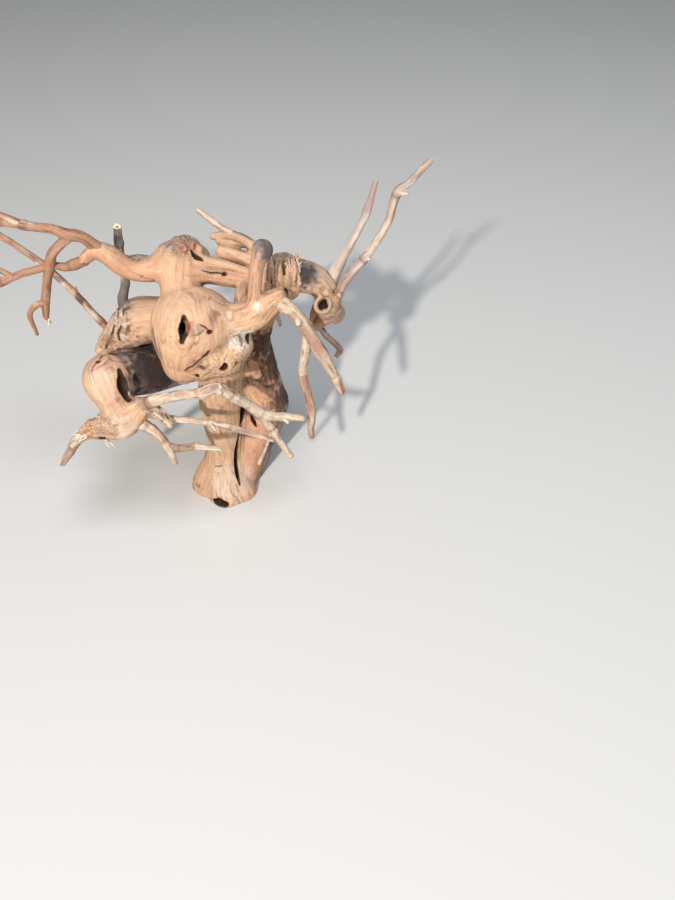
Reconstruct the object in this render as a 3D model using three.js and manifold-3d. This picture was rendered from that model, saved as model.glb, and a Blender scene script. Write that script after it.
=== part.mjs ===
// A bare old grapevine: a gnarled trunk without bark, the swollen head that it
// carries, the short old arms round the head, and the dead canes on the arms.
// Millimetres, +Z up. The origin is the middle of the flat cut at ground level.
// Seen from -Y the round front of the head faces the viewer and +X is right.

import * as THREE from 'three';
import { mergeVertices } from 'three/addons/utils/BufferGeometryUtils.js';
import Module from 'manifold-3d';

const wasm = await Module();
wasm.setup();

// Driving dimensions
const clearance = 0.3;
const footRadius = 55;
const waistRadius = 36;
const strandRadius = 44;
const forkHeight = 430;
const headHeight = 495;
const headRadius = 60;
const topHeight = 580;
const flareDepth = 30;
const gnarl = 0.05;
const domeReach = 0.5;
const domeShoulder = 0.6;
const trunkSides = 14;
const woodSides = 12;
const caneSides = 6;
const twigSides = 5;
const trunkStep = 30;
const woodStep = 20;
const caneStep = 26;
const twigStep = 30;
const lumpDetail = 3;
const lobeDetail = 4;
const budSpacing = 52;
const twigChance = 0.45;

// Finishes
const oldWood = { colour: 0xd9b592, roughness: 0.85 };
const greyWood = { colour: 0xb9a48f, roughness: 0.9 };
const decayedWood = { colour: 0xc8a98a, roughness: 0.95 };
const caneWood = { colour: 0xddc9b0, roughness: 0.8 };

// A repeatable random number from 0 to 1 for each draw of a seed
function seededRandom(seed) {
  let state = seed * 2654435761 % 4294967296;
  return () => {
    state = (state * 1664525 + 1013904223) % 4294967296;
    return state / 4294967296;
  };
}

// Smooth unevenness of old wood, from -1 to 1, by place
function unevenness(point) {
  const wave = Math.sin(point.x / 19 + 1.3 * Math.sin(point.z / 31));
  const cross = Math.sin(point.y / 17 + 1.1 * Math.sin(point.x / 23));
  const rise = Math.sin(point.z / 21 + point.y / 29);
  return (wave + cross + rise) / 3;
}

function solidFrom(geometry) {
  geometry.deleteAttribute('normal');
  geometry.deleteAttribute('uv');
  const merged = mergeVertices(geometry, 1e-3);
  return new wasm.Manifold(new wasm.Mesh({
    numProp: 3,
    vertProperties: new Float32Array(merged.attributes.position.array),
    triVerts: new Uint32Array(merged.index.array),
  }));
}

function geometryFrom(solid) {
  const mesh = solid.getMesh();
  const geometry = new THREE.BufferGeometry();
  const positions = new THREE.BufferAttribute(new Float32Array(mesh.vertProperties), 3);
  geometry.setAttribute('position', positions);
  geometry.setIndex(new THREE.BufferAttribute(new Uint32Array(mesh.triVerts), 1));
  geometry.computeVertexNormals();
  return geometry;
}

// Rings along a smooth curve through the bends, each bend [x, y, z, radius]
function ringsAlong(bends, step) {
  const curve = new THREE.CatmullRomCurve3(
    bends.map(([x, y, z]) => new THREE.Vector3(x, y, z)), false, 'centripetal');
  const spans = bends.length - 1;
  const rings = [];
  for (let span = 0; span < spans; span++) {
    const here = new THREE.Vector3(...bends[span]);
    const next = new THREE.Vector3(...bends[span + 1]);
    const count = Math.max(1, Math.round(here.distanceTo(next) / step));
    for (let i = 0; i < count; i++) {
      const part = i / count;
      const ease = part * part * (3 - 2 * part);
      const radius = bends[span][3] + (bends[span + 1][3] - bends[span][3]) * ease;
      rings.push({ at: (span + part) / spans, radius });
    }
  }
  rings.push({ at: 1, radius: bends[spans][3] });
  for (const ring of rings) {
    ring.centre = curve.getPoint(ring.at);
    ring.along = curve.getTangent(ring.at);
  }
  return rings;
}

// The ring that starts the dome past an end ring
function shoulderRing(end, sense) {
  const reach = sense * 0.7 * domeReach * end.radius;
  const centre = end.centre.clone().addScaledVector(end.along, reach);
  return { along: end.along, centre, radius: domeShoulder * end.radius };
}

// One closed tapering tube with domed ends
function limb(bends, grow, sides = woodSides, step = woodStep, relief = gnarl) {
  const rings = ringsAlong(bends, step);
  const first = rings[0];
  const last = rings[rings.length - 1];
  const domed = [shoulderRing(first, -1), ...rings, shoulderRing(last, 1)];
  const positions = [];
  const side = new THREE.Vector3(0, 0, 1);
  if (Math.abs(first.along.z) > 0.8) {
    side.set(1, 0, 0);
  }
  for (const ring of domed) {
    side.addScaledVector(ring.along, -side.dot(ring.along)).normalize();
    const up = new THREE.Vector3().crossVectors(ring.along, side);
    for (let k = 0; k < sides; k++) {
      const angle = 2 * Math.PI * k / sides;
      const out = side.clone().multiplyScalar(Math.cos(angle)).addScaledVector(up, Math.sin(angle));
      const skin = ring.centre.clone().addScaledVector(out, ring.radius);
      skin.addScaledVector(out, grow + relief * ring.radius * unevenness(skin));
      positions.push(skin.x, skin.y, skin.z);
    }
  }
  const startTip = first.centre.clone().addScaledVector(first.along, -domeReach * first.radius - grow);
  const endTip = last.centre.clone().addScaledVector(last.along, domeReach * last.radius + grow);
  positions.push(startTip.x, startTip.y, startTip.z, endTip.x, endTip.y, endTip.z);
  const startIndex = domed.length * sides;
  const lastRing = (domed.length - 1) * sides;
  const faces = [];
  for (let k = 0; k < sides; k++) {
    const next = (k + 1) % sides;
    for (let ring = 0; ring < domed.length - 1; ring++) {
      const low = ring * sides;
      const high = low + sides;
      faces.push(low + k, low + next, high + next, low + k, high + next, high + k);
    }
    faces.push(startIndex, next, k);
    faces.push(startIndex + 1, lastRing + k, lastRing + next);
  }
  const geometry = new THREE.BufferGeometry();
  geometry.setAttribute('position', new THREE.Float32BufferAttribute(positions, 3));
  geometry.setIndex(faces);
  return solidFrom(geometry);
}

function cane(bends, grow) {
  return limb(bends, grow, caneSides, caneStep, 0);
}

function twig(bends, grow) {
  return limb(bends, grow, twigSides, twigStep, 0);
}

// A rounded burl with its own three radii
function lump(centre, radii, grow, detail = lumpDetail) {
  const geometry = new THREE.IcosahedronGeometry(1, detail);
  const position = geometry.attributes.position;
  const point = new THREE.Vector3();
  for (let i = 0; i < position.count; i++) {
    point.fromBufferAttribute(position, i);
    const place = new THREE.Vector3(...radii).multiply(point).add(new THREE.Vector3(...centre));
    const swell = 1 + gnarl * unevenness(place);
    position.setXYZ(i,
      centre[0] + point.x * (radii[0] * swell + grow),
      centre[1] + point.y * (radii[1] * swell + grow),
      centre[2] + point.z * (radii[2] * swell + grow));
  }
  return solidFrom(geometry);
}

function joined(solids) {
  return solids.reduce((whole, next) => whole.add(next));
}

// Short side twigs at alternate buds of a cane, by a seeded rule
function sideTwigs(bends, seed, grow) {
  const random = seededRandom(seed);
  const rings = ringsAlong(bends, budSpacing);
  const twigs = [];
  for (let i = 1; i < rings.length - 1; i++) {
    const turn = (i % 2 ? 1 : -1) * (0.7 + 0.5 * random());
    const length = 10 + 14 * random();
    const grows = random() < twigChance;
    const { centre, along, radius } = rings[i];
    const side = new THREE.Vector3(-along.y, along.x, 0.6 * (random() - 0.3)).normalize();
    const heading = along.clone().multiplyScalar(0.6).addScaledVector(side, turn).normalize();
    if (grows) {
      const tip = centre.clone().addScaledVector(heading, length);
      const root = [...centre.toArray(), radius * 0.7];
      twigs.push(twig([root, [...tip.toArray(), radius * 0.35]], grow));
    }
  }
  return twigs;
}

// A root that swells out of the foot towards (x, y) and is cut off with it
function rootFlare(x, y, grow) {
  return limb([[0.1 * x + 10, 0.1 * y, 125, 15], [0.45 * x + 5, 0.45 * y, 75, 23],
    [0.8 * x, 0.8 * y, 30, 28], [x, y, 2, 30], [x, y, -flareDepth, 30]], grow, 10);
}

// The trunk: two twisted strands and a torn ridge round old heartwood, on a flared foot
function trunk(grow) {
  const leftStrand = limb([
    [0, 0, -flareDepth, footRadius + 5], [2, 0, 0, footRadius], [11, 0, 45, 42],
    [14, -4, 90, waistRadius + 1], [16, -6, 140, waistRadius], [18, -8, 185, waistRadius + 1],
    [23, -10, 262, 42], [37, -15, 350, strandRadius], [49, -28, forkHeight, strandRadius]],
  grow, trunkSides, trunkStep);
  const rightStrand = limb([
    [26, 8, -flareDepth, 46], [28, 8, 0, 42], [58, 8, 88, 32], [86, 6, 170, 33],
    [100, 8, 239, 38], [92, 10, 316, 39], [90, 10, 387, 35], [110, 10, 452, 32],
    [141, 10, 493, 30]], grow, woodSides, trunkStep);
  const heartwood = limb([
    [18, 30, -flareDepth, 46], [18, 30, 0, 44], [30, 26, 60, 34], [48, 20, 150, 30],
    [62, 14, 280, 30], [72, 6, 400, 34]], grow, 10, trunkStep);
  const tornRidge = limb([
    [50, 28, -flareDepth, 20], [65, 28, 19, 19], [100, 25, 124, 18], [129, 20, 208, 18],
    [122, 20, 282, 17], [106, 20, 356, 16], [102, 15, 416, 16]], grow, 9, trunkStep);
  const roots = [[-42, -8], [-24, 36], [6, -42], [40, -26]].map(([x, y]) => rootFlare(x, y, grow));
  const belowGround = solidFrom(new THREE.BoxGeometry(600, 600, 200).translate(0, 0, -100));
  return joined([leftStrand, rightStrand, heartwood, tornRidge, ...roots]).subtract(belowGround);
}

// The head: the round front lobe with its rough chin, the neck and the top burl
function crownHead(grow) {
  return joined([
    lump([14, -88, headHeight], [headRadius, 56, 62], grow, lobeDetail),
    limb([[8, -94, 480, 53], [-3, -105, 442, 36], [-6, -112, 410, 14]], grow),
    lump([55, -98, 450], [46, 45, 40], grow),
    lump([27, -110, 433], [27, 29, 24], grow),
    lump([82, -96, 462], [26, 30, 27], grow),
    lump([37, -87, 506], [47, 46, 46], grow),
    lump([42, -98, 496], [40, 42, 44], grow),
    limb([[50, -28, 430, 42], [34, -48, 462, 50], [14, -64, 492, 44], [-1, -53, 536, 29],
      [-2, -36, 562, 27], [4, -20, topHeight, 25]], grow),
    lump([-16, -20, topHeight], [18, 19, 18], grow),
    lump([12, -10, topHeight], [22, 20, 21], grow),
    lump([29, -5, 566], [14, 14, 15], grow),
    lump([-4, -36, 591], [12, 11, 11], grow),
  ]);
}

// The left shoulder: an old pruning wound that slopes down to the left
function leftShoulder(grow) {
  return joined([
    limb([[-20, -42, 472, 38], [-65, -32, 463, 36], [-95, -36, 452, 34], [-123, -45, 431, 27],
      [-145, -50, 415, 18]], grow),
    lump([-82, -30, 462], [34, 30, 32], grow),
  ]);
}

// The knob arm: a thick arm that turns forward, swells and drops to its spur
function knobArm(grow) {
  return joined([
    limb([[4, -24, 378, 40], [-46, -32, 371, 41], [-80, -58, 379, 41], [-107, -88, 394, 38]], grow),
    lump([-130, -118, 412], [39, 38, 39], grow),
    limb([[-129, -124, 402, 34], [-122, -137, 385, 29], [-114, -146, 358, 26]], grow),
  ]);
}

// The spur head: the knuckles under the knob that carry the low canes
function spurHead(grow) {
  return joined([
    limb([[-78, -150, 374, 18], [-96, -152, 356, 24], [-114, -155, 342, 26], [-144, -160, 340, 21],
      [-164, -165, 338, 15]], grow),
    lump([-84, -150, 372], [20, 19, 19], grow),
    lump([-101, -163, 368], [15, 14, 14], grow),
    lump([-127, -168, 352], [17, 14, 15], grow),
    lump([-150, -166, 347], [15, 14, 14], grow),
  ]);
}

function upperLeftArm(grow) {
  return joined([
    limb([[-8, -28, 566, 28], [-41, -35, 562, 20], [-65, -40, 563, 17], [-84, -45, 577, 17],
      [-97, -50, 596, 16], [-110, -55, 606, 13], [-122, -55, 600, 10], [-136, -55, 589, 8]], grow, 10),
    lump([-60, -28, 572], [24, 11, 10], grow),
  ]);
}

function frontRightArm(grow) {
  return limb([[48, -88, 490, 34], [87, -88, 503, 27], [116, -85, 514, 24], [138, -80, 529, 20],
    [152, -75, 537, 15]], grow, 12);
}

function uprightStub(grow) {
  return joined([
    limb([[118, -85, 525, 13], [121, -80, 562, 10.5], [125, -75, 588, 10.5], [131, -71, 606, 11]], grow, 10),
    lump([136, -68, 616], [14, 12, 15], grow),
  ]);
}

// The right limb: two old strands with a slit between them
function rightLimb(grow) {
  return joined([
    limb([[10, -42, 558, 20], [48, -30, 546, 12], [86, -20, 531, 12], [118, -11, 519, 17],
      [142, -2, 518, 20]], grow, 9),
    limb([[16, -28, 574, 15], [51, -20, 563, 9.5], [83, -15, 550, 8], [106, -10, 536, 9]], grow, 7),
  ]);
}

function upperRightLimb(grow) {
  return joined([
    limb([[61, 20, 558, 11], [85, 15, 553, 12], [108, 11, 546, 14], [142, 10, 536, 19]], grow, 9),
    limb([[45, 40, 574, 6], [75, 35, 579, 8], [101, 25, 574, 9], [122, 18, 556, 11]], grow, 7),
  ]);
}

function decayedBurl(grow) {
  return joined([
    lump([156, 4, 536], [29, 28, 36], grow),
    lump([164, -14, 510], [19, 18, 18], grow),
    lump([170, 0, 552], [12, 12, 22], grow),
  ]);
}

function farRightArm(grow) {
  return limb([[166, 10, 520, 28], [197, 15, 512, 26], [219, 15, 497, 24], [229, 10, 473, 22]], grow);
}

function cutSpur(grow) {
  return joined([
    limb([[231, 8, 476, 20], [222, 2, 456, 22], [209, -5, 438, 15]], grow),
    limb([[240, 12, 444, 18], [233, 0, 460, 20], [226, -12, 472, 18]], grow),
  ]);
}

function backArm(grow) {
  return joined([
    limb([[90, 20, 352, 30], [86, 62, 346, 25], [80, 108, 338, 22], [74, 140, 326, 20]], grow, 12),
    lump([72, 150, 322], [24, 21, 20], grow),
  ]);
}

function backStick(grow) {
  return limb([[-104, -28, 440, 11], [-116, 6, 446, 10], [-123, 28, 460, 8], [-117, 40, 486, 7],
    [-116, 50, 520, 7], [-118, 60, 548, 7], [-114, 66, 576, 6.5]], grow, 7, caneStep);
}

// The canes, each by its bends from the arm outward
const caneRuns = {
  leftHigh: [[-104, -54, 606, 9], [-124, -59, 629, 8], [-143, -60, 636, 8.5], [-166, -60, 643, 6.4],
    [-202, -55, 647, 6.2], [-239, -50, 649, 6], [-290, -45, 651, 5.4], [-350, -40, 656, 4.4]],
  leftHighFork: [[-208, -55, 650, 5.7], [-235, -50, 659, 4.3], [-271, -40, 668, 3.5]],
  leftHanging: [[-141, -60, 633, 8], [-157, -65, 622, 6.5], [-171, -70, 610, 6.6], [-179, -70, 593, 8],
    [-192, -70, 565, 6.2], [-208, -70, 526, 6.5], [-217, -70, 495, 4.8]],
  leftHook: [[-206, -70, 526, 5.5], [-222, -75, 522, 4.6], [-236, -75, 508, 3.9], [-239, -75, 467, 2.8]],
  leftLow: [[-180, -70, 590, 6], [-219, -75, 581, 5.2], [-259, -80, 569, 6], [-302, -85, 562, 5.2],
    [-338, -92, 553, 4.2]],
  leftLowFork: [[-236, -78, 575, 5], [-255, -75, 584, 3.7], [-281, -70, 590, 3]],
  leftLink: [[-130, -56, 592, 8], [-150, -55, 582, 8], [-162, -60, 582, 5.6], [-180, -70, 592, 5]],
  leftBack: [[-128, -22, 410, 8], [-163, 0, 436, 6], [-196, 15, 483, 5.9], [-239, 25, 532, 5.7],
    [-293, 35, 579, 5.2], [-331, 42, 602, 4.6], [-378, 52, 634, 3.8]],
  farLeft: [[-160, -164, 338, 12], [-191, -170, 319, 9], [-212, -172, 291, 6.8], [-233, -175, 263, 6]],
  front: [[-84, -151, 372, 14], [-53, -155, 396, 9], [-14, -155, 406, 8], [25, -150, 408, 8],
    [52, -145, 413, 8.6], [75, -140, 392, 7.8], [98, -130, 360, 8.4], [120, -125, 335, 9.4],
    [149, -120, 323, 7.3], [185, -115, 316, 6.3]],
  frontFork: [[117, -125, 335, 9], [131, -125, 296, 7], [143, -130, 273, 5.7], [161, -135, 239, 5.6]],
  frontTwig: [[130, -125, 298, 5.2], [118, -130, 260, 4], [102, -135, 217, 3.8]],
  frontStub: [[55, -146, 409, 8], [57, -146, 417, 5.6], [58, -146, 424, 2]],
  split: [[-74, -152, 384, 10], [-47, -160, 375, 9.6], [-31, -165, 352, 8]],
  middle: [[-76, -150, 364, 8], [-30, -150, 351, 5.4], [30, -145, 334, 5.1], [65, -140, 319, 5.8],
    [132, -135, 281, 3.8]],
  under: [[-92, -154, 350, 12], [-68, -160, 338, 8], [-49, -165, 309, 7.6], [-39, -170, 284, 5.6],
    [-37, -170, 262, 4.2]],
  underFork: [[-46, -165, 300, 6.6], [-26, -160, 288, 5.6], [-2, -155, 285, 6], [43, -150, 274, 4.3]],
  rightHigh: [[230, 18, 474, 13], [238, 30, 506, 10], [262, 45, 550, 7.8], [291, 65, 599, 6.4],
    [306, 85, 644, 4.2]],
  rightFar: [[240, 8, 470, 10], [259, 20, 505, 7.6], [290, 30, 541, 6.9], [326, 50, 593, 6.2],
    [338, 65, 634, 6.6], [358, 70, 651, 5.4], [388, 80, 679, 5.2]],
  rightLow: [[144, -76, 535, 15], [164, -78, 526, 11.6], [182, -80, 505, 10.2], [217, -90, 447, 10.4],
    [241, -95, 391, 7.6], [252, -100, 364, 6.6]],
  rightDrop: [[198, -83, 480, 8], [194, -85, 443, 7.7], [187, -89, 398, 7.9], [193, -90, 354, 7.2],
    [199, -95, 316, 7.4], [197, -95, 250, 5.8]],
  hooked: [[207, -4, 440, 7], [224, -10, 416, 4.9], [249, -11, 380, 5.6], [241, -15, 368, 3.6]],
  topRight: [[78, 34, 582, 6], [56, 40, 592, 5], [23, 50, 615, 4.2]],
  backLong: [[70, 152, 322, 10], [48, 196, 300, 7], [22, 232, 262, 6], [8, 262, 206, 4.6]],
  backShort: [[80, 152, 324, 9], [106, 190, 312, 6.4], [118, 222, 282, 5.2], [120, 246, 240, 4]],
};

// A mass of canes: the named runs, and the twigs that their seed gives
function caneMass(names, seed) {
  return (grow) => joined([
    ...names.map((name) => cane(caneRuns[name], grow)),
    ...sideTwigs(caneRuns[names[0]], seed, grow),
  ]);
}

// Each node gives way to the ones above it in this list
const nodes = [
  ['trunk', oldWood, trunk],
  ['crown_head', oldWood, crownHead],
  ['left_shoulder', oldWood, leftShoulder],
  ['knob_arm', oldWood, knobArm],
  ['spur_head', oldWood, spurHead],
  ['upper_left_arm', oldWood, upperLeftArm],
  ['front_right_arm', oldWood, frontRightArm],
  ['decayed_burl', decayedWood, decayedBurl],
  ['right_limb', oldWood, rightLimb],
  ['upper_right_limb', greyWood, upperRightLimb],
  ['upright_stub', oldWood, uprightStub],
  ['far_right_arm', greyWood, farRightArm],
  ['cut_spur', decayedWood, cutSpur],
  ['back_arm', oldWood, backArm],
  ['back_stick', greyWood, backStick],
  ['canes_upper_left', caneWood, caneMass(['leftHigh', 'leftHighFork', 'leftHanging', 'leftHook',
    'leftLow', 'leftLowFork', 'leftLink'], 3)],
  ['long_left_cane', caneWood, caneMass(['leftBack'], 5)],
  ['far_left_cane', caneWood, caneMass(['farLeft'], 8)],
  ['front_canes', caneWood, caneMass(['front', 'frontFork', 'frontTwig', 'frontStub'], 13)],
  ['split_stub', caneWood, caneMass(['split'], 1)],
  ['middle_cane', caneWood, caneMass(['middle'], 21)],
  ['under_canes', caneWood, caneMass(['under', 'underFork'], 2)],
  ['right_high_cane', caneWood, caneMass(['rightHigh'], 34)],
  ['right_far_cane', caneWood, caneMass(['rightFar'], 55)],
  ['right_low_canes', caneWood, caneMass(['rightLow', 'rightDrop'], 89)],
  ['hooked_cane', caneWood, caneMass(['hooked'], 4)],
  ['top_right_cane', caneWood, caneMass(['topRight'], 6)],
  ['back_long_cane', caneWood, caneMass(['backLong'], 7)],
  ['back_short_cane', caneWood, caneMass(['backShort'], 9)],
];

// The cut leaves scraps behind a neighbour: only the largest body is the piece
function largestBody(solid) {
  const bodies = solid.decompose();
  return bodies.reduce((best, body) => (body.volume() > best.volume() ? body : best));
}

const grapevine = new THREE.Group();
const neighbours = [];
for (const [name, finish, form] of nodes) {
  const cut = neighbours.reduce((solid, neighbour) => solid.subtract(neighbour), form(0));
  neighbours.push(form(clearance));
  const material = new THREE.MeshStandardMaterial({
    color: finish.colour, roughness: finish.roughness, metalness: 0 });
  const mesh = new THREE.Mesh(geometryFrom(largestBody(cut)), material);
  mesh.name = name;
  grapevine.add(mesh);
}

export default grapevine;
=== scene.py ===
"""A bare old grapevine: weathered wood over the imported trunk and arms, and its dead canes.

Metres, +Z up, the origin in the middle of the flat cut at ground level. The
camera looks along +Y and down, so the round front of the head faces it.
"""

import math

import bpy
import numpy as np
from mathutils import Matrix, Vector


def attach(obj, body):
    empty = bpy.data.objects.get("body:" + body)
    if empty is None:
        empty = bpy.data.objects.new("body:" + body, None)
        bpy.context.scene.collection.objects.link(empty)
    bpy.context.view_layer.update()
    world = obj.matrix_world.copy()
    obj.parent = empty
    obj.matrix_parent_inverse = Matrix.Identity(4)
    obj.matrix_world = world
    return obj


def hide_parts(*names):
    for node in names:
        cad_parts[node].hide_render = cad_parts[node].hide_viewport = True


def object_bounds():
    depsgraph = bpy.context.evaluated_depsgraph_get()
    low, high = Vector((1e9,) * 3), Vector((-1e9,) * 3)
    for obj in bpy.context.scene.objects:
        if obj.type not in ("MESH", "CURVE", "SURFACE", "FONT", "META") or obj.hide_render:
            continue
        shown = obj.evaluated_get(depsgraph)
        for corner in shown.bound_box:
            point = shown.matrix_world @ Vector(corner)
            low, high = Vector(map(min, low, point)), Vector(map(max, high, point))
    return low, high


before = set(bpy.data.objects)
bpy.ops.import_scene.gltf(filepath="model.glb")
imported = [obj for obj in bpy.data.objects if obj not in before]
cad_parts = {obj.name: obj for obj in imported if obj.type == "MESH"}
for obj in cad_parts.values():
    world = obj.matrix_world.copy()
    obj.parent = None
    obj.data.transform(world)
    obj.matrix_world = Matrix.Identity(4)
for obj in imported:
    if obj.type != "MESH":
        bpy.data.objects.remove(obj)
cad_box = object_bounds()

# Camera and light
CAMERA_PLACE = (0.2452, -0.9408, 1.15)
CAMERA_PITCH = 48.0
LENS = 27.0
SENSOR = 36.0
LIT_SPOT = (0.02, -0.04, 0.40)
LAMP_REACH = 5.0
SUN_FROM, SUN_SIZE, SUN_POWER, SUN_COLOUR = (-0.22, -0.78, 0.59), 0.20, 278.0, (1.0, 0.945, 0.87)
FILL_FROM, FILL_SIZE, FILL_POWER, FILL_COLOUR = (0.25, -0.30, 0.92), 1.6, 165.0, (0.86, 0.92, 1.0)
SKY_STRENGTH, SKY_COLOUR = 0.22, (0.78, 0.84, 0.92, 1)
FLOOR_SIZE, FLOOR_COLOUR = 9.0, (0.60, 0.59, 0.57, 1)

# Wood: the grid of distances, and how far each form's grain, tone and relief are felt
WOOD_PITCH = 0.0018
WOOD_MARGIN = 0.012
LIMB_STEP = 0.007
RING_BENDS = 13
FAR = 1.0
GNARL = 0.05
FLOW_REACH, FLOW_FADE = 0.045, 0.006
TRAIT_REACH, TRAIT_FADE = 0.02, 0.005
PULL_DEPTH = 0.01
LENGTHWISE = 0.11
FOOT_FADE = 0.006

# Wounds: how a crack tapers, how softly a wound meets the skin, and how far its dark walls reach
CRACK_TIP = 0.35
WOUND_BLEND = 0.003
WOUND_REACH = 0.006
RIM_LEAST, RIM_MOST = 0.0011, 0.0021

# Relief of the wood: the width of each noise across the grain, its height and how dark it gets
SINEW_WIDTH, SINEW_RISE = 0.0125, 0.0016
RIDGE_WIDTH, RIDGE_RISE = 0.0050, 0.00055
SPLIT_WIDTH, SPLIT_DEPTH, SPLIT_DARK = 0.0085, 0.0016, 0.55
KNOB_WIDTH, KNOB_RISE, KNOB_DARK = 0.0064, 0.0024, 0.58
ROT_WIDTH, ROT_DEPTH, ROT_DARK = 0.0090, 0.0034, 0.7
TORN_WIDTH, TORN_RISE, TORN_DARK = 0.0072, 0.0019, 0.8
RAGGED_WIDTH, RAGGED = 0.0055, 0.35
SPLIT_SHARP = 0.11
KNOB_SWAY = 0.35
PATCHY_WIDTH, PATCHY_FINE = 0.030, 0.013
FELT = 0.01
# Dirt and painted shade in hollows: how far out the skin looks for a hollow, and how fast it darkens
CAVITY_REACH = 0.009
CAVITY_GAIN, CAVITY_START, CAVITY_RISE = 1.6, 0.35, 120

# Canes
CANE_SIDES = 18
CANE_STEP = 0.0024
TWIG_SIDES = 10
TWIG_STEP = 0.8 * CANE_STEP
TWIG_CHANCE = 0.45
BUD_SPACING = 0.052
BUD_SWELL = 0.14
ZIGZAG = 0.0012
WANDER_WIDTH, WANDER = 0.021, 0.0007
CANE_RIB = 0.05
SPLIT_RIB = 0.20
RIB_WIDTH, STRIP_WIDTH = 0.0021, 0.0040
DENT_WIDTH, TWIG_DENT_WIDTH = 0.007, 0.004
BLOTCH_WIDTH = 0.028

# The decayed burl: its middle, where its top begins to fall, and the dark gaps between its strands
BURL_X, BURL_Y = 0.157, 0.004
STRANDS_Y = 0.003
BURL_CREST = 0.163
BURL_STRANDS = 48
BURL_GAPS = (0.143, 0.162)
BURL_GAP_HALF = 0.0018

# Finishes: the scales of their noises, and their fine relief and sheen
BLOTCH_SCALE, MOTTLE_SCALE, SPECK_SCALE = 34.0, 130.0, 420.0
BUMP_DEPTH = 0.0007
WOOD_SHEEN = 0.25


def camera_and_lights():
    camera = bpy.data.objects.new("view", bpy.data.cameras.new("view"))
    bpy.context.scene.collection.objects.link(camera)
    camera.location = CAMERA_PLACE
    camera.rotation_euler = (math.radians(90 - CAMERA_PITCH), 0, 0)
    camera.data.lens = LENS
    camera.data.sensor_width = SENSOR
    bpy.context.scene.camera = camera
    soft_light("sun", Vector(SUN_FROM), SUN_SIZE, SUN_POWER, SUN_COLOUR)
    soft_light("fill", Vector(FILL_FROM), FILL_SIZE, FILL_POWER, FILL_COLOUR)
    world = bpy.data.worlds.new("studio")
    world.use_nodes = True
    background = world.node_tree.nodes["Background"]
    background.inputs["Color"].default_value = SKY_COLOUR
    background.inputs["Strength"].default_value = SKY_STRENGTH
    bpy.context.scene.world = world
    bpy.context.scene.view_settings.view_transform = "Standard"


def soft_light(name, heading, size, power, colour):
    """A round lamp that stands off in the given heading and shines on the middle of the vine."""
    lamp = bpy.data.objects.new(name, bpy.data.lights.new(name, "AREA"))
    lamp.data.shape = "DISK"
    lamp.data.size = size
    lamp.data.energy = power
    lamp.data.color = colour
    lamp.location = Vector(LIT_SPOT) + heading.normalized() * LAMP_REACH
    lamp.rotation_euler = heading.to_track_quat("Z", "Y").to_euler()
    bpy.context.scene.collection.objects.link(lamp)


def floor():
    half = FLOOR_SIZE / 2
    mesh = bpy.data.meshes.new("floor")
    corners = [(-half, -half, 0), (half, -half, 0), (half, half, 0), (-half, half, 0)]
    mesh.from_pydata(corners, [], [(0, 1, 2, 3)])
    piece = bpy.data.objects.new("floor", mesh)
    bpy.context.scene.collection.objects.link(piece)
    paint = bpy.data.materials.new("floor")
    paint.use_nodes = True
    shader = paint.node_tree.nodes["Principled BSDF"]
    shader.inputs["Base Color"].default_value = FLOOR_COLOUR
    shader.inputs["Roughness"].default_value = 0.9
    mesh.materials.append(paint)


# The skeleton: each bend is x, y, z and radius
def limb(bends, blend, tone=0.5, grey=0.0, relief=1.0, twist=0.0):
    """A round tapering run of wood. The blend is how far it melts into what it joins."""
    return {"kind": "limb", "path": smooth_path(np.array(bends), LIMB_STEP, 2), "blend": blend,
            "tone": tone, "grey": grey, "relief": relief, "twist": twist}


def lump(centre, radii, blend, tone=0.5, grey=0.0, relief=1.0):
    """A rounded mass of wood with three radii."""
    return {"kind": "lump", "centre": np.array(centre), "radii": np.array(radii), "blend": blend,
            "tone": tone, "grey": grey, "relief": relief}


def crack(points, radius, sink=0.0, mark=1.0):
    """A groove along the skin, or sink metres under it, that runs out to a point at both ends."""
    bends = [(*point, radius) for point in points]
    bends[0] = (*points[0], radius * CRACK_TIP)
    bends[-1] = (*points[-1], radius * CRACK_TIP)
    return {**limb(bends, WOUND_BLEND, relief=0.0), "sink": sink, "mark": mark}


def pit(centre, radii, sink=0.0, mark=1.0):
    """A rounded hole with its middle on the skin, or sink metres under it. None leaves it in place."""
    return {**lump(centre, radii, WOUND_BLEND, relief=0.0), "sink": sink, "mark": mark}


def facing(axis):
    """An axis as a unit vector, and the level and the steep direction at right angles to it."""
    axis = unit(np.array(axis))
    across = unit(np.cross(axis, [0, 0, 1]))
    return axis, across, np.cross(axis, across)


def ring(centre, axis, reach, radius, grey):
    """A round fold of wood about an old knot."""
    _, across, rise = facing(axis)
    turns = np.linspace(0, 2 * math.pi, RING_BENDS)
    spots = [np.array(centre) + reach * (math.cos(t) * across + math.sin(t) * rise) for t in turns]
    return limb([(*spot, radius) for spot in spots], 0.004, 0.45, grey, 0.6)


def seeded_draws(seed):
    """The same repeatable numbers, 0 to 1, as the rule that grew the solids."""
    state = seed * 2654435761 % 4294967296
    while True:
        state = (state * 1664525 + 1013904223) % 4294967296
        yield state / 4294967296


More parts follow.
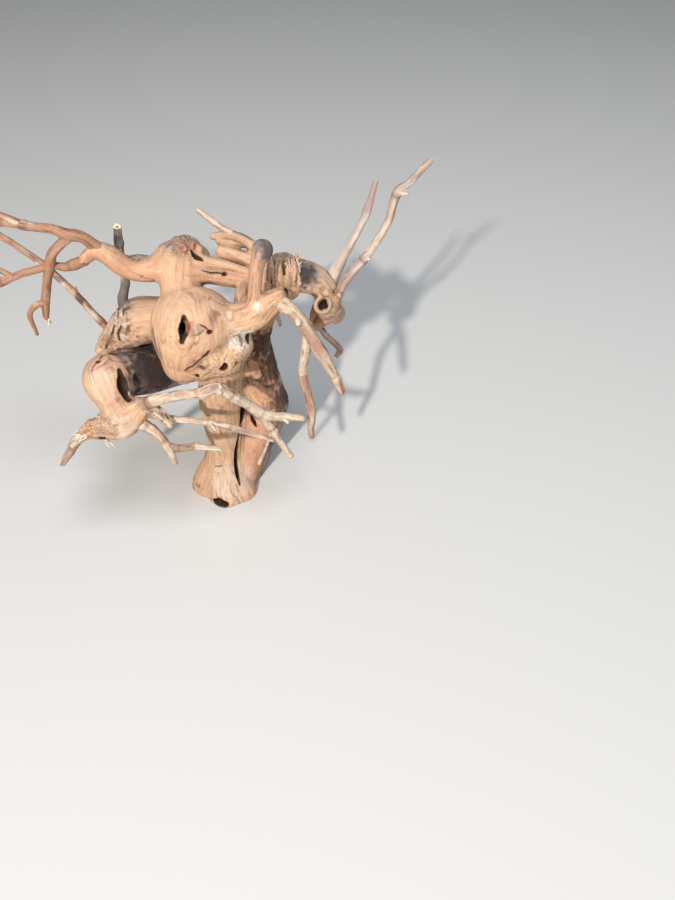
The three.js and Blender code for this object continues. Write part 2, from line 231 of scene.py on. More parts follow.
def smooth_path(bends, step, least):
    """Centripetal Catmull-Rom points with eased radii through the bends."""
    points = bends[:, :3]
    padded = np.vstack([2 * points[0] - points[1], points, 2 * points[-1] - points[-2]])
    rows = []
    for k in range(len(points) - 1):
        p = padded[k:k + 4]
        knots = np.cumsum([0.0] + [max(np.linalg.norm(p[i + 1] - p[i]), 1e-6) ** 0.5 for i in range(3)])
        count = max(least, int(math.floor(np.linalg.norm(p[2] - p[1]) / step + 0.5)))
        last = k == len(points) - 2
        for i in range(count + (1 if last else 0)):
            part = i / count
            t = knots[1] + part * (knots[2] - knots[1])
            a = [mix(p[j], p[j + 1], (t - knots[j]) / (knots[j + 1] - knots[j])) for j in range(3)]
            b = [mix(a[j], a[j + 1], (t - knots[j]) / (knots[j + 2] - knots[j])) for j in range(2)]
            ease = part * part * (3 - 2 * part)
            radius = mix(bends[k, 3], bends[k + 1, 3], ease)
            rows.append([*mix(b[0], b[1], (t - knots[1]) / (knots[2] - knots[1])), radius])
    return np.array(rows)


def mix(a, b, part):
    return a * (1 - part) + b * part


def smooth_step(value, low, high):
    part = np.clip((value - low) / (high - low), 0, 1)
    return part * part * (3 - 2 * part)


def trunk_forms():
    left_strand = limb(
        [(0.000, 0, -0.03, 0.060), (0.002, 0, 0, 0.055), (0.011, 0, 0.045, 0.042),
         (0.014, -0.004, 0.090, 0.037), (0.016, -0.006, 0.140, 0.036), (0.018, -0.008, 0.185, 0.037),
         (0.023, -0.010, 0.262, 0.042), (0.037, -0.015, 0.350, 0.044), (0.049, -0.028, 0.430, 0.044)],
        0.014, 0.34, 0, 0.6, 1.5)
    right_strand = limb(
        [(0.026, 0.008, -0.03, 0.046), (0.028, 0.008, 0, 0.042), (0.058, 0.008, 0.088, 0.032),
         (0.086, 0.006, 0.170, 0.033), (0.100, 0.008, 0.239, 0.038), (0.092, 0.010, 0.316, 0.039),
         (0.090, 0.010, 0.387, 0.035), (0.110, 0.010, 0.452, 0.032), (0.141, 0.010, 0.493, 0.030)],
        0.004, 0.66, 0, 0.8, 3.0)
    heartwood = limb(
        [(0.018, 0.030, -0.03, 0.046), (0.018, 0.030, 0, 0.044), (0.030, 0.026, 0.060, 0.034),
         (0.048, 0.020, 0.150, 0.030), (0.062, 0.014, 0.280, 0.030), (0.072, 0.006, 0.400, 0.034)],
        0.006, 0.30, 0.3)
    torn_ridge = limb(
        [(0.050, 0.028, -0.03, 0.020), (0.065, 0.028, 0.019, 0.019), (0.100, 0.025, 0.124, 0.018),
         (0.129, 0.020, 0.208, 0.018), (0.122, 0.020, 0.282, 0.017), (0.106, 0.020, 0.356, 0.016),
         (0.102, 0.015, 0.416, 0.016)], 0.005, 0.25, 1.0, 1.4, 3.0)
    return [left_strand, root_flare(-0.042, -0.008), root_flare(-0.024, 0.036), root_flare(0.006, -0.042),
            root_flare(0.040, -0.026), heartwood, right_strand, torn_ridge]


def root_flare(x, y):
    """A root that swells out of the foot towards (x, y)."""
    return limb([(0.1 * x + 0.010, 0.1 * y, 0.125, 0.015), (0.45 * x + 0.005, 0.45 * y, 0.075, 0.023),
                 (0.8 * x, 0.8 * y, 0.030, 0.028), (x, y, 0.002, 0.030), (x, y, -0.03, 0.030)],
                0.018, 0.48, 0, 0.5)


def head_forms():
    return [
        limb([(0.050, -0.028, 0.430, 0.042), (0.034, -0.048, 0.462, 0.050), (0.014, -0.064, 0.492, 0.044),
              (-0.001, -0.053, 0.536, 0.029), (-0.002, -0.036, 0.562, 0.027), (0.004, -0.020, 0.580, 0.025)],
             0.014, 0.50),
        lump((0.014, -0.088, 0.495), (0.060, 0.056, 0.062), 0.008, 0.50, 0, 0.5),
        limb([(0.008, -0.094, 0.480, 0.053), (-0.003, -0.105, 0.442, 0.036), (-0.006, -0.112, 0.410, 0.014)],
             0.010, 0.56, 0, 0.5),
        lump((0.037, -0.087, 0.506), (0.047, 0.046, 0.046), 0.014, 0.50, 0.1, 0.6),
        lump((0.042, -0.098, 0.496), (0.040, 0.042, 0.044), 0.014, 0.50, 0, 0.6),
        lump((0.055, -0.098, 0.450), (0.046, 0.045, 0.040), 0.006, 0.30, 0, 0.6),
        lump((0.027, -0.110, 0.433), (0.027, 0.029, 0.024), 0.006, 0.30, 0, 0.6),
        lump((0.085, -0.096, 0.464), (0.026, 0.030, 0.028), 0.006, 0.35, 0.1, 0.8),
        lump((-0.016, -0.020, 0.580), (0.018, 0.019, 0.018), 0.006, 0.45, 0.10),
        lump((0.012, -0.010, 0.580), (0.022, 0.020, 0.021), 0.006, 0.40, 0.15),
        lump((0.029, -0.005, 0.566), (0.014, 0.014, 0.015), 0.006, 0.40, 0.20),
        lump((-0.004, -0.036, 0.591), (0.012, 0.011, 0.011), 0.003, 0.45, 0.2),
        lump((0.012, -0.030, 0.594), (0.009, 0.009, 0.009), 0.003, 0.35, 0.2),
        lump((0.019, -0.022, 0.597), (0.008, 0.008, 0.007), 0.003, 0.80),
        lump((-0.017, -0.028, 0.594), (0.007, 0.007, 0.006), 0.002, 0.45, 0.2),
        lump((0.002, -0.018, 0.602), (0.008, 0.007, 0.005), 0.002, 0.45, 0.2),
        lump((0.030, -0.016, 0.584), (0.008, 0.008, 0.006), 0.002, 0.45, 0.3),
        ring((-0.004, -0.041, 0.599), (-0.10, -0.45, 0.89), 0.0075, 0.0024, 0.3),
        ring((0.012, -0.036, 0.600), (0.15, -0.50, 0.85), 0.0050, 0.0020, 0.1),
    ]


def left_forms():
    return [
        limb([(-0.020, -0.042, 0.472, 0.038), (-0.065, -0.032, 0.463, 0.036), (-0.095, -0.036, 0.452, 0.034),
              (-0.123, -0.045, 0.431, 0.027), (-0.145, -0.050, 0.415, 0.018)], 0.006, 0.42, 0.1, 1.3),
        lump((-0.082, -0.030, 0.462), (0.034, 0.030, 0.032), 0.02, 0.40, 0.2, 1.3),
        limb([(0.004, -0.024, 0.378, 0.040), (-0.046, -0.032, 0.371, 0.041), (-0.080, -0.058, 0.379, 0.041),
              (-0.107, -0.088, 0.394, 0.038)], 0.004, 0.30, 1.2, 0.8),
        lump((-0.130, -0.118, 0.412), (0.039, 0.038, 0.039), 0.006, 0.48, 0, 0.6),
        limb([(-0.129, -0.124, 0.402, 0.034), (-0.122, -0.137, 0.385, 0.029), (-0.114, -0.146, 0.358, 0.026)],
             0.010, 0.50, 0, 0.7),
        limb([(-0.078, -0.150, 0.374, 0.018), (-0.096, -0.152, 0.356, 0.024), (-0.114, -0.155, 0.342, 0.026),
              (-0.144, -0.160, 0.340, 0.021), (-0.164, -0.165, 0.338, 0.015)], 0.012, 0.50, 0, 1.3),
        lump((-0.084, -0.150, 0.372), (0.020, 0.019, 0.019), 0.006, 0.50),
        lump((-0.101, -0.163, 0.368), (0.015, 0.014, 0.014), 0.005, 0.45, 0.1),
        lump((-0.127, -0.168, 0.352), (0.017, 0.014, 0.015), 0.004, 0.42, 0.1),
        lump((-0.150, -0.166, 0.347), (0.015, 0.014, 0.014), 0.004, 0.55),
        lump((-0.131, -0.164, 0.376), (0.010, 0.009, 0.010), 0.008, 0.50),
        lump((-0.157, -0.168, 0.354), (0.012, 0.010, 0.009), 0.008, 0.55),
        lump((-0.173, -0.170, 0.342), (0.009, 0.008, 0.008), 0.006, 0.50),
        lump((-0.141, -0.162, 0.364), (0.009, 0.008, 0.008), 0.003, 0.60),
        lump((-0.116, -0.172, 0.366), (0.008, 0.008, 0.007), 0.004, 0.40),
        lump((-0.164, -0.166, 0.352), (0.007, 0.007, 0.006), 0.002, 0.60),
        limb([(-0.008, -0.028, 0.566, 0.028), (-0.041, -0.035, 0.562, 0.020), (-0.065, -0.040, 0.563, 0.017),
              (-0.084, -0.045, 0.577, 0.017), (-0.097, -0.050, 0.596, 0.016), (-0.110, -0.055, 0.606, 0.013),
              (-0.122, -0.055, 0.600, 0.010), (-0.136, -0.055, 0.589, 0.008)], 0.012, 0.62, 0, 0.8),
        lump((-0.060, -0.028, 0.572), (0.024, 0.011, 0.010), 0.004, 0.40, 0.4),
    ]


def right_forms():
    return [
        limb([(0.048, -0.088, 0.490, 0.034), (0.087, -0.088, 0.503, 0.027), (0.116, -0.085, 0.514, 0.024),
              (0.138, -0.080, 0.529, 0.020), (0.152, -0.075, 0.537, 0.015)], 0.010, 0.52),
        limb([(0.118, -0.085, 0.525, 0.013), (0.121, -0.080, 0.562, 0.0105), (0.125, -0.075, 0.588, 0.0105),
              (0.131, -0.071, 0.606, 0.011)], 0.006, 0.62, 0.1, 0.7),
        lump((0.136, -0.068, 0.616), (0.014, 0.012, 0.015), 0.006, 0.40, 0.5, 1.2),
        limb([(0.010, -0.042, 0.558, 0.020), (0.048, -0.030, 0.546, 0.013), (0.086, -0.020, 0.531, 0.013),
              (0.118, -0.011, 0.519, 0.017), (0.142, -0.002, 0.518, 0.020)], 0.008, 0.52, 0, 0.7),
        limb([(0.016, -0.028, 0.574, 0.015), (0.051, -0.020, 0.563, 0.0095), (0.083, -0.015, 0.550, 0.008),
              (0.106, -0.010, 0.536, 0.009)], 0.002, 0.50, 0, 0.6),
        limb([(0.098, -0.020, 0.524, 0.013), (0.098, -0.050, 0.519, 0.016), (0.100, -0.076, 0.510, 0.015)],
             0.005, 0.45, 0.2),
        limb([(0.061, 0.020, 0.558, 0.011), (0.085, 0.015, 0.553, 0.012), (0.108, 0.011, 0.546, 0.014),
              (0.142, 0.010, 0.536, 0.019)], 0.006, 0.50, 0.1, 0.7),
        limb([(0.045, 0.040, 0.574, 0.006), (0.075, 0.035, 0.579, 0.008), (0.101, 0.025, 0.574, 0.009),
              (0.122, 0.018, 0.556, 0.011)], 0.006, 0.48, 0.3, 0.6),
        limb([(0.055, 0.034, 0.568, 0.006), (0.076, 0.030, 0.567, 0.0065), (0.098, 0.024, 0.568, 0.005)],
             0.003, 0.45, 0.2, 0.5),
        limb([(0.166, 0.010, 0.520, 0.028), (0.197, 0.015, 0.512, 0.026), (0.219, 0.015, 0.497, 0.024),
              (0.229, 0.010, 0.473, 0.022)], 0.008, 0.40, 0.3, 1.5),
        limb([(0.231, 0.008, 0.476, 0.020), (0.222, 0.002, 0.456, 0.022), (0.209, -0.005, 0.438, 0.015)],
             0.006, 0.48, 0.1, 1.5),
        limb([(0.240, 0.012, 0.444, 0.018), (0.233, 0, 0.460, 0.020), (0.226, -0.012, 0.472, 0.018)],
             0.005, 0.40, 0.5, 1.2),
        limb([(0.226, -0.012, 0.502, 0.0065), (0.230, -0.002, 0.490, 0.0095), (0.232, 0.012, 0.474, 0.0120)],
             0.003, 0.50, 0.1, 1.6, 2.0),
        limb([(0.248, -0.004, 0.494, 0.0055), (0.244, 0.004, 0.482, 0.0085), (0.238, 0.010, 0.468, 0.0110)],
             0.003, 0.50, 0.1, 1.6, 2.0),
        ring((0.221, -0.020, 0.484), (-0.27, -0.57, 0.77), 0.0125, 0.0034, 0.2),
    ]


def burl_forms():
    """Decayed wood: a core wrapped in upright strands whose tops are broken off."""
    forms = [lump((BURL_X, BURL_Y, 0.531), (0.026, 0.025, 0.034), 0.006, 0.35, 0.0, 1.2),
             lump((0.166, -0.014, 0.510), (0.018, 0.016, 0.017), 0.004, 0.55, 0, 1.2)]
    draws = seeded_draws(12)
    for k in range(15):
        turn = math.radians(-92 + 13 * k)
        reach = 0.023 + 0.004 * next(draws)
        x, y = BURL_X + reach * math.sin(turn), BURL_Y - reach * math.cos(turn)
        top = 0.573 - 0.4 * max(x - BURL_CREST, 0) - 0.3 * max(0.150 - x, 0) - 0.016 * next(draws)
        lean = 0.006 * (next(draws) - 0.5)
        width = 0.0034 + 0.0022 * next(draws)
        foot = 0.498 + 0.012 * next(draws)
        tone = 0.20 + 0.35 * next(draws)
        bends = [(x - lean, y, foot, width), (x + lean, y - 0.003, 0.535, width),
                 (x, y, top - 0.012, width * 0.8), (x + lean, y + 0.002, top, width * 0.45)]
        forms.append(limb(bends, 0.0015, tone, 0.0, 1.0, 2.0))
    return forms


def back_forms():
    return [
        limb([(0.090, 0.020, 0.352, 0.030), (0.086, 0.062, 0.346, 0.025), (0.080, 0.108, 0.338, 0.022),
              (0.074, 0.140, 0.326, 0.020)], 0.016, 0.45, 0.2),
        lump((0.072, 0.150, 0.322), (0.024, 0.021, 0.020), 0.010, 0.45, 0.2),
    ]


def lobe_wounds():
    """The slit in the round lobe, the cracks and pits round it, and those of the arm beside it."""
    slit = [(0.0150, -0.128, 0.541), (0.0120, -0.137, 0.525), (0.0085, -0.143, 0.505)]
    mouth = [(0.0175, -0.128, 0.541), (0.0185, -0.135, 0.527), (0.0115, -0.143, 0.506)]
    return [
        crack(mouth, 0.0074),
        *[crack(slit, 0.0046 + 0.05 * sink, sink) for sink in (0.006, 0.014, 0.022)],
        crack([(0.041, -0.131, 0.529), (0.047, -0.131, 0.525), (0.053, -0.130, 0.515)], 0.0010),
        pit((0.052, -0.131, 0.5165), (0.0032, 0.005, 0.0022)),
        crack([(0.030, -0.134, 0.514), (0.037, -0.134, 0.515), (0.046, -0.133, 0.522)], 0.0011, 0, 0.6),
        crack([(0.048, -0.137, 0.487), (0.043, -0.139, 0.478), (0.036, -0.141, 0.471)], 0.0019),
        crack([(0.042, -0.139, 0.477), (0.031, -0.142, 0.467), (0.021, -0.143, 0.457),
               (0.013, -0.144, 0.454), (0.006, -0.144, 0.445)], 0.0012),
        pit((0.0655, -0.138, 0.4505), (0.0046, 0.009, 0.0036)),
        pit((0.0690, -0.137, 0.4535), (0.0030, 0.008, 0.0056)),
        pit((0.034, -0.136, 0.450), (0.0040, 0.005, 0.0040), 0, 0.6),
        pit((0.023, -0.139, 0.434), (0.0026, 0.005, 0.0026)),
        pit((0.087, -0.129, 0.451), (0.0024, 0.005, 0.0030), 0, 0.6),
        crack([(0.104, -0.104, 0.494), (0.106, -0.104, 0.483), (0.102, -0.106, 0.474)], 0.0040),
        crack([(0.092, -0.112, 0.494), (0.096, -0.112, 0.485), (0.094, -0.114, 0.476)], 0.0020, 0, 0.8),
    ]


def right_wounds():
    """The cracks of the right limb, the gaps of the decayed burl and the hole in the cut spur."""
    return [
        crack([(0.027, -0.034, 0.593), (0.033, -0.036, 0.586), (0.040, -0.034, 0.577)], 0.0034, 0.002),
        crack([(0.044, -0.046, 0.571), (0.054, -0.042, 0.564), (0.062, -0.039, 0.563),
               (0.076, -0.033, 0.554)], 0.0012),
        pit((0.072, -0.035, 0.556), (0.0040, 0.004, 0.0018)),
        *[crack([(x - 0.003, -0.018, 0.572), (x, -0.023, 0.550), (x + 0.003, -0.022, 0.512)], 0.0022, 0.001)
          for x in BURL_GAPS],
        *[crack([(0.220, -0.026, 0.492), (0.222, -0.020, 0.484), (0.226, -0.014, 0.474)], 0.0085, sink)
          for sink in (0.0, 0.008)],
    ]


def left_wounds():
    """The hollow and the V crack of the knob, the pit under the spur head and the shoulder's cracks."""
    return [
        pit((-0.077, -0.113, 0.403), (0.015, 0.010, 0.022), -0.006, 0.0),
        pit((-0.078, -0.113, 0.402), (0.011, 0.010, 0.016), -0.002, 0.2),
        pit((-0.082, -0.114, 0.400), (0.007, 0.009, 0.013), 0.004, 0.5),
        crack([(-0.101, -0.128, 0.437), (-0.099, -0.141, 0.417), (-0.093, -0.149, 0.392)], 0.0088),
        crack([(-0.134, -0.120, 0.450), (-0.131, -0.112, 0.449), (-0.131, -0.104, 0.446)], 0.0010),
        crack([(-0.134, -0.120, 0.450), (-0.139, -0.128, 0.447), (-0.143, -0.136, 0.441)], 0.0008),
        pit((-0.134, -0.122, 0.449), (0.0034, 0.0026, 0.0026)),
        pit((-0.143, -0.180, 0.332), (0.006, 0.008, 0.004)),
        crack([(-0.092, -0.068, 0.478), (-0.094, -0.070, 0.470), (-0.099, -0.072, 0.463)], 0.0030, 0, 0.8),
        crack([(-0.106, -0.066, 0.476), (-0.112, -0.068, 0.462), (-0.110, -0.071, 0.450)], 0.0017),
        crack([(-0.118, -0.058, 0.472), (-0.126, -0.066, 0.456), (-0.139, -0.070, 0.434)], 0.0020),
    ]


def trunk_wounds():
    """The split between the two strands, the dark pocket beside it and the hollow at the foot."""
    upper = [(0.0640, -0.016, 0.262), (0.0625, -0.016, 0.238), (0.0595, -0.018, 0.210),
             (0.0570, -0.022, 0.196)]
    lower = [(0.0545, -0.026, 0.188), (0.0450, -0.034, 0.139), (0.0395, -0.038, 0.103),
             (0.0390, -0.042, 0.074), (0.0425, -0.050, 0.048)]
    return [
        *[crack(split, radius, sink) for sink in (0.0, 0.006, 0.012)
          for split, radius in ((upper, 0.0054), (lower, 0.0034))],
        *[crack([(0.0765, -0.026, 0.229), (0.081, -0.025, 0.217), (0.0865, -0.024, 0.204)], 0.0054, sink)
          for sink in (0.0, 0.005)],
        crack([(-0.012, -0.050, 0.101), (-0.002, -0.052, 0.102), (0.009, -0.052, 0.105)], 0.0014, 0, 0.7),
        # The hollow at the foot keeps a thin floor, which its wound mark paints dark as shade
        *[pit((x, -0.075, 0.002 + tall), (0.0095, 0.031, tall), None)
          for x, tall in ((-0.011, 0.0085), (-0.003, 0.0115), (0.005, 0.0085))],
    ]


def knob_splinter():
    """A pale splinter of wood that still stands in the hollow of the knob."""
    return limb([(-0.096, -0.134, 0.428, 0.0016), (-0.093, -0.142, 0.414, 0.0030),
                 (-0.089, -0.148, 0.398, 0.0020)], 0.002)


# Where the grain turns round a knot or a hole: centre, axis and reach
SWIRLS = [
    ((0.013, -0.136, 0.522), (-0.10, -0.88, 0.47), 0.052),
    ((-0.078, -0.114, 0.402), (0.72, -0.66, 0.22), 0.026),
    ((-0.004, -0.040, 0.598), (-0.10, -0.29, 0.95), 0.012),
    ((0.012, -0.034, 0.600), (0.23, -0.55, 0.80), 0.010),
    ((0.124, -0.098, 0.537), (0, -0.83, 0.56), 0.010),
    ((0.079, -0.104, 0.526), (0.42, -0.54, 0.73), 0.010),
    ((0.221, -0.022, 0.485), (-0.27, -0.57, 0.77), 0.016),
    ((-0.134, -0.122, 0.449), (-0.17, -0.14, 0.98), 0.018),
    ((-0.094, -0.070, 0.470), (-0.11, -0.92, 0.38), 0.016),
]

# Patches that are knobbly, rotten, pale, rusty, greyed, stained or torn: centre, reach and strength. Some
# greyed and stained patches are painted shade.
KNOBBLY = [((0.162, -0.022, 0.540), 0.036, 0.8), ((0.058, -0.136, 0.443), 0.036, 1.0),
           ((0.096, -0.112, 0.484), 0.024, 1.0), ((0.028, -0.136, 0.430), 0.024, 1.0),
           ((0.088, -0.118, 0.452), 0.026, 0.9), ((0.010, -0.025, 0.600), 0.024, 1.0),
           ((-0.012, -0.024, 0.596), 0.016, 0.8), ((-0.060, -0.026, 0.582), 0.020, 1.0),
           ((-0.146, -0.172, 0.350), 0.034, 1.2), ((-0.104, -0.168, 0.366), 0.020, 0.6),
           ((-0.118, -0.064, 0.459), 0.026, 0.8)]
ROTTEN = [((0.020, -0.052, 0.262), 0.030, 0.25), ((-0.128, -0.178, 0.354), 0.020, 0.3),
          ((-0.106, -0.066, 0.466), 0.030, 0.7), ((-0.132, -0.066, 0.442), 0.022, 0.7),
          ((0.226, -0.012, 0.468), 0.020, 0.6), ((0.096, -0.112, 0.486), 0.022, 0.4),
          ((0.006, -0.024, 0.602), 0.018, 0.35)]
PALE = [((0.096, -0.112, 0.486), 0.023, 0.75), ((-0.114, -0.064, 0.464), 0.026, 0.3),
        ((0.124, -0.098, 0.537), 0.0070, 1.0), ((0.079, -0.104, 0.526), 0.0060, 1.0),
        ((-0.130, -0.150, 0.425), 0.030, 0.3), ((-0.115, -0.175, 0.350), 0.035, 0.4),
        ((0.216, -0.030, 0.492), 0.010, 0.8), ((-0.091, -0.144, 0.410), 0.009, 1.0),
        ((0.030, -0.050, 0.060), 0.050, 0.4),
        *[((0.050 - 0.0005 * k, -0.034, 0.160 - 0.012 * k), 0.0060, 0.8) for k in range(8)]]
RUSTY = [((0.0240, -0.132, 0.527), 0.0095, 1.0), ((0.064, -0.124, 0.430), 0.008, 0.7),
         ((0.012, -0.036, 0.600), 0.007, 0.7), ((-0.127, -0.170, 0.347), 0.016, 0.5),
         ((-0.095, -0.070, 0.468), 0.008, 0.3), ((-0.125, -0.068, 0.446), 0.012, 0.4)]
# Greyed patches: weathered grey wood, and painted shade as dark grey on the far right arm, the knob arm and
# the cap of the upright stub
GREYED_AND_PAINTED_SHADE = [((0.190, 0.002, 0.528), 0.024, 1.2), ((0.036, -0.134, 0.524), 0.010, 0.4),
          ((-0.132, -0.166, 0.381), 0.008, 0.5), ((-0.100, -0.036, 0.480), 0.020, 0.8),
          ((0.143, -0.068, 0.617), 0.018, 1.2), ((-0.060, -0.028, 0.584), 0.016, 0.35),
          ((0.040, -0.008, 0.575), 0.016, 0.3), ((0.004, -0.026, 0.602), 0.024, 0.35),
          ((-0.070, -0.080, 0.400), 0.045, 0.9)]
# Dark patches: real stains, and painted shade on the knob arm under the shoulder, the far right arm, the
# upper right trunk under the head and the cap of the upright stub
STAINS_AND_PAINTED_SHADE = [((0.144, -0.066, 0.619), 0.016, 0.5), ((0.190, 0.000, 0.528), 0.020, 0.75),
           ((-0.070, -0.084, 0.396), 0.044, 0.88), ((0.157, 0.000, 0.532), 0.030, 0.3),
           ((-0.106, -0.160, 0.402), 0.006, 0.4), ((0.130, 0.010, 0.250), 0.038, 0.75),
           ((0.118, 0.010, 0.330), 0.044, 0.85), ((0.108, 0.006, 0.400), 0.042, 0.9),
           ((-0.140, -0.178, 0.352), 0.009, 0.45)]
TORN = [((0.135, 0.012, 0.240), 0.055, 1.0), ((0.118, 0.012, 0.340), 0.055, 1.0),
        ((0.110, 0.024, 0.130), 0.040, 0.8), ((0.108, -0.010, 0.400), 0.035, 0.8),
        ((0.157, -0.004, 0.545), 0.040, 0.5)]


def unevenness(x, y, z):
    """The smooth unevenness of old wood, -1 to 1, by place in metres."""
    wave = np.sin(x / 0.019 + 1.3 * np.sin(z / 0.031))
    cross = np.sin(y / 0.017 + 1.1 * np.sin(x / 0.023))
    rise = np.sin(z / 0.021 + y / 0.029)
    return (wave + cross + rise) / 3


def smooth_union(a, b, reach):
    overlap = np.maximum(reach - np.abs(a - b), 0) / reach
    return np.minimum(a, b) - overlap * overlap * reach / 4


def segment_distance(x, y, z, start, end):
    """Distance to the axis of a tapering round segment, and its radius there."""
    run = end[:3] - start[:3]
    along = (x - start[0]) * run[0] + (y - start[1]) * run[1] + (z - start[2]) * run[2]
    along = np.clip(along / max(run @ run, 1e-12), 0, 1)
    gap = np.sqrt((x - start[0] - along * run[0]) ** 2 + (y - start[1] - along * run[1]) ** 2
                  + (z - start[2] - along * run[2]) ** 2)
    return gap, start[3] + along * (end[3] - start[3])


def lump_distance(x, y, z, form):
    dx, dy, dz = x - form["centre"][0], y - form["centre"][1], z - form["centre"][2]
    a, b, c = form["radii"]
    near = np.sqrt((dx / a) ** 2 + (dy / b) ** 2 + (dz / c) ** 2) + 1e-9
    slope = np.sqrt((dx / a ** 2) ** 2 + (dy / b ** 2) ** 2 + (dz / c ** 2) ** 2) + 1e-9
    return near * (near - 1) / slope


def path_box(path, reach):
    """The low and high corners of the box round a path and its radii, reach wider on every side."""
    return (path[:, :3] - path[:, 3:]).min(0) - reach, (path[:, :3] + path[:, 3:]).max(0) + reach


def form_box(form, reach):
    if form["kind"] == "limb":
        return path_box(form["path"], reach)
    return form["centre"] - form["radii"] - reach, form["centre"] + form["radii"] + reach


def near_form(points, form, reach):
    """The numbers of the points that lie in the box round a form, reach wider on every side."""
    low, high = form_box(form, reach)
    return np.nonzero(((points > low) & (points < high)).all(axis=1))[0]


def form_gap(form, points):
    """Each point's distance to the skin of a form, negative inside."""
    if form["kind"] == "lump":
        return lump_distance(*points.T, form)
    gap = np.full(len(points), FAR)
    path = form["path"]
    for start, end in zip(path[:-1], path[1:]):
        distance, radius = segment_distance(*points.T, start, end)
        gap = np.minimum(gap, distance - radius)
    return gap


class WoodField:
    """A grid of signed distances to the wood, negative inside."""

    def __init__(self, low, high, pitch):
        self.low = np.array(low)
        self.pitch = pitch
        self.count = np.ceil((np.array(high) - self.low) / pitch).astype(int) + 1
        self.axes = [self.low[i] + pitch * np.arange(self.count[i]) for i in range(3)]
        self.value = np.full(self.count, FAR, np.float32)
        x, y, z = np.meshgrid(*self.axes, indexing="ij", sparse=True)
        self.uneven = unevenness(x, y, z).astype(np.float32)

    def window(self, low, high):
        spans = []
        for i in range(3):
            first = int(np.floor((low[i] - self.low[i]) / self.pitch))
            last = int(np.ceil((high[i] - self.low[i]) / self.pitch)) + 1
            spans.append(slice(max(first, 0), max(min(last, self.count[i]), 0)))
        grid = np.meshgrid(*[self.axes[i][spans[i]] for i in range(3)], indexing="ij", sparse=True)
        return tuple(spans), grid

    def limb_values(self, form, reach):
        path = form["path"]
        spans, _ = self.window(*path_box(path, reach))
        whole = np.full([s.stop - s.start for s in spans], FAR, np.float32)
        for start, end in zip(path[:-1], path[1:]):
            inner, points = self.window(*path_box(np.array([start, end]), reach))
            gap, radius = segment_distance(*points, start, end)
            radius = radius * (1 + GNARL * form["relief"] * self.uneven[inner])
            local = tuple(slice(inner[i].start - spans[i].start, inner[i].stop - spans[i].start)
                          for i in range(3))
            whole[local] = np.minimum(whole[local], gap - radius)
        return spans, whole

    def lump_values(self, form, reach):
        low = form["centre"] - form["radii"] * 1.1 - reach
        high = form["centre"] + form["radii"] * 1.1 + reach
        spans, points = self.window(low, high)
        swell = GNARL * form["relief"] * form["radii"].mean() * self.uneven[spans]
        return spans, (lump_distance(*points, form) - swell).astype(np.float32)

    def values_of(self, form):
        reach = form["blend"] + 2 * self.pitch
        if form["kind"] == "limb":
            return self.limb_values(form, reach)
        return self.lump_values(form, reach)

    def add(self, form):
        spans, piece = self.values_of(form)
        self.value[spans] = smooth_union(self.value[spans], piece, form["blend"])

    def carve(self, form):
        spans, piece = self.values_of(form)
        self.value[spans] = -smooth_union(-self.value[spans], piece, form["blend"])

    def seated(self, wound):
        """A wound moved onto the skin, or as far under it as its sink says."""
        if wound["sink"] is None:
            return wound
        key = "path" if wound["kind"] == "limb" else "centre"
        spots = np.atleast_2d(wound[key]).copy()
        for _ in range(3):
            place = spots[:, :3]
            spots[:, :3] = place - (self.sample(place) + wound["sink"])[:, None] * self.outward(place)
        return {**wound, key: spots if key == "path" else spots[0]}

    def sample(self, points):
        """Trilinear values at points (N, 3)."""
        place = np.clip((points - self.low) / self.pitch, 0, self.count - 1.001)
        base = place.astype(int)
        part = place - base
        total = np.zeros(len(points))
        for corner in range(8):
            pick = np.array([(corner >> i) & 1 for i in range(3)])
            weight = np.prod(np.where(pick, part, 1 - part), axis=1)
            total += weight * self.value[tuple((base + pick).T)]
        return total

    def outward(self, points):
        """The direction in which the distance grows, as unit vectors."""
        steps = np.eye(3) * self.pitch
        slope = np.stack([self.sample(points + step) - self.sample(points - step) for step in steps], axis=1)
        return unit(slope)


def unit(vectors):
    return vectors / np.maximum(np.linalg.norm(vectors, axis=-1, keepdims=True), 1e-12)


def surface_of(field):
    """Points and quads on the zero level of the field, by surface nets."""
    inside = field.value < 0
    cells = [n - 1 for n in inside.shape]
    corners = sum(inside[i:i + cells[0], j:j + cells[1], k:k + cells[2]].astype(np.int8)
                  for i in (0, 1) for j in (0, 1) for k in (0, 1))
    active = np.argwhere((corners > 0) & (corners < 8))
    index = np.full(cells, -1, np.int32)
    index[tuple(active.T)] = np.arange(len(active))
    return net_points(field, active), net_quads(inside, index)


def net_points(field, active):
    """In each active cell, the middle of the places where the surface crosses its edges."""
    total = np.zeros((len(active), 3))
    crossings = np.zeros(len(active))
    for axis in range(3):
        others = [i for i in range(3) if i != axis]
        for shift in range(4):
            start = np.zeros(3, int)
            start[others[0]], start[others[1]] = shift & 1, shift >> 1
            end = start.copy()
            end[axis] = 1
            a = field.value[tuple((active + start).T)]
            b = field.value[tuple((active + end).T)]
            cut = (a < 0) != (b < 0)
            part = np.where(cut, a / np.where(cut, a - b, 1), 0)
            total += cut[:, None] * (start + part[:, None] * (end - start))
            crossings += cut
    return field.low + field.pitch * (active + total / crossings[:, None])


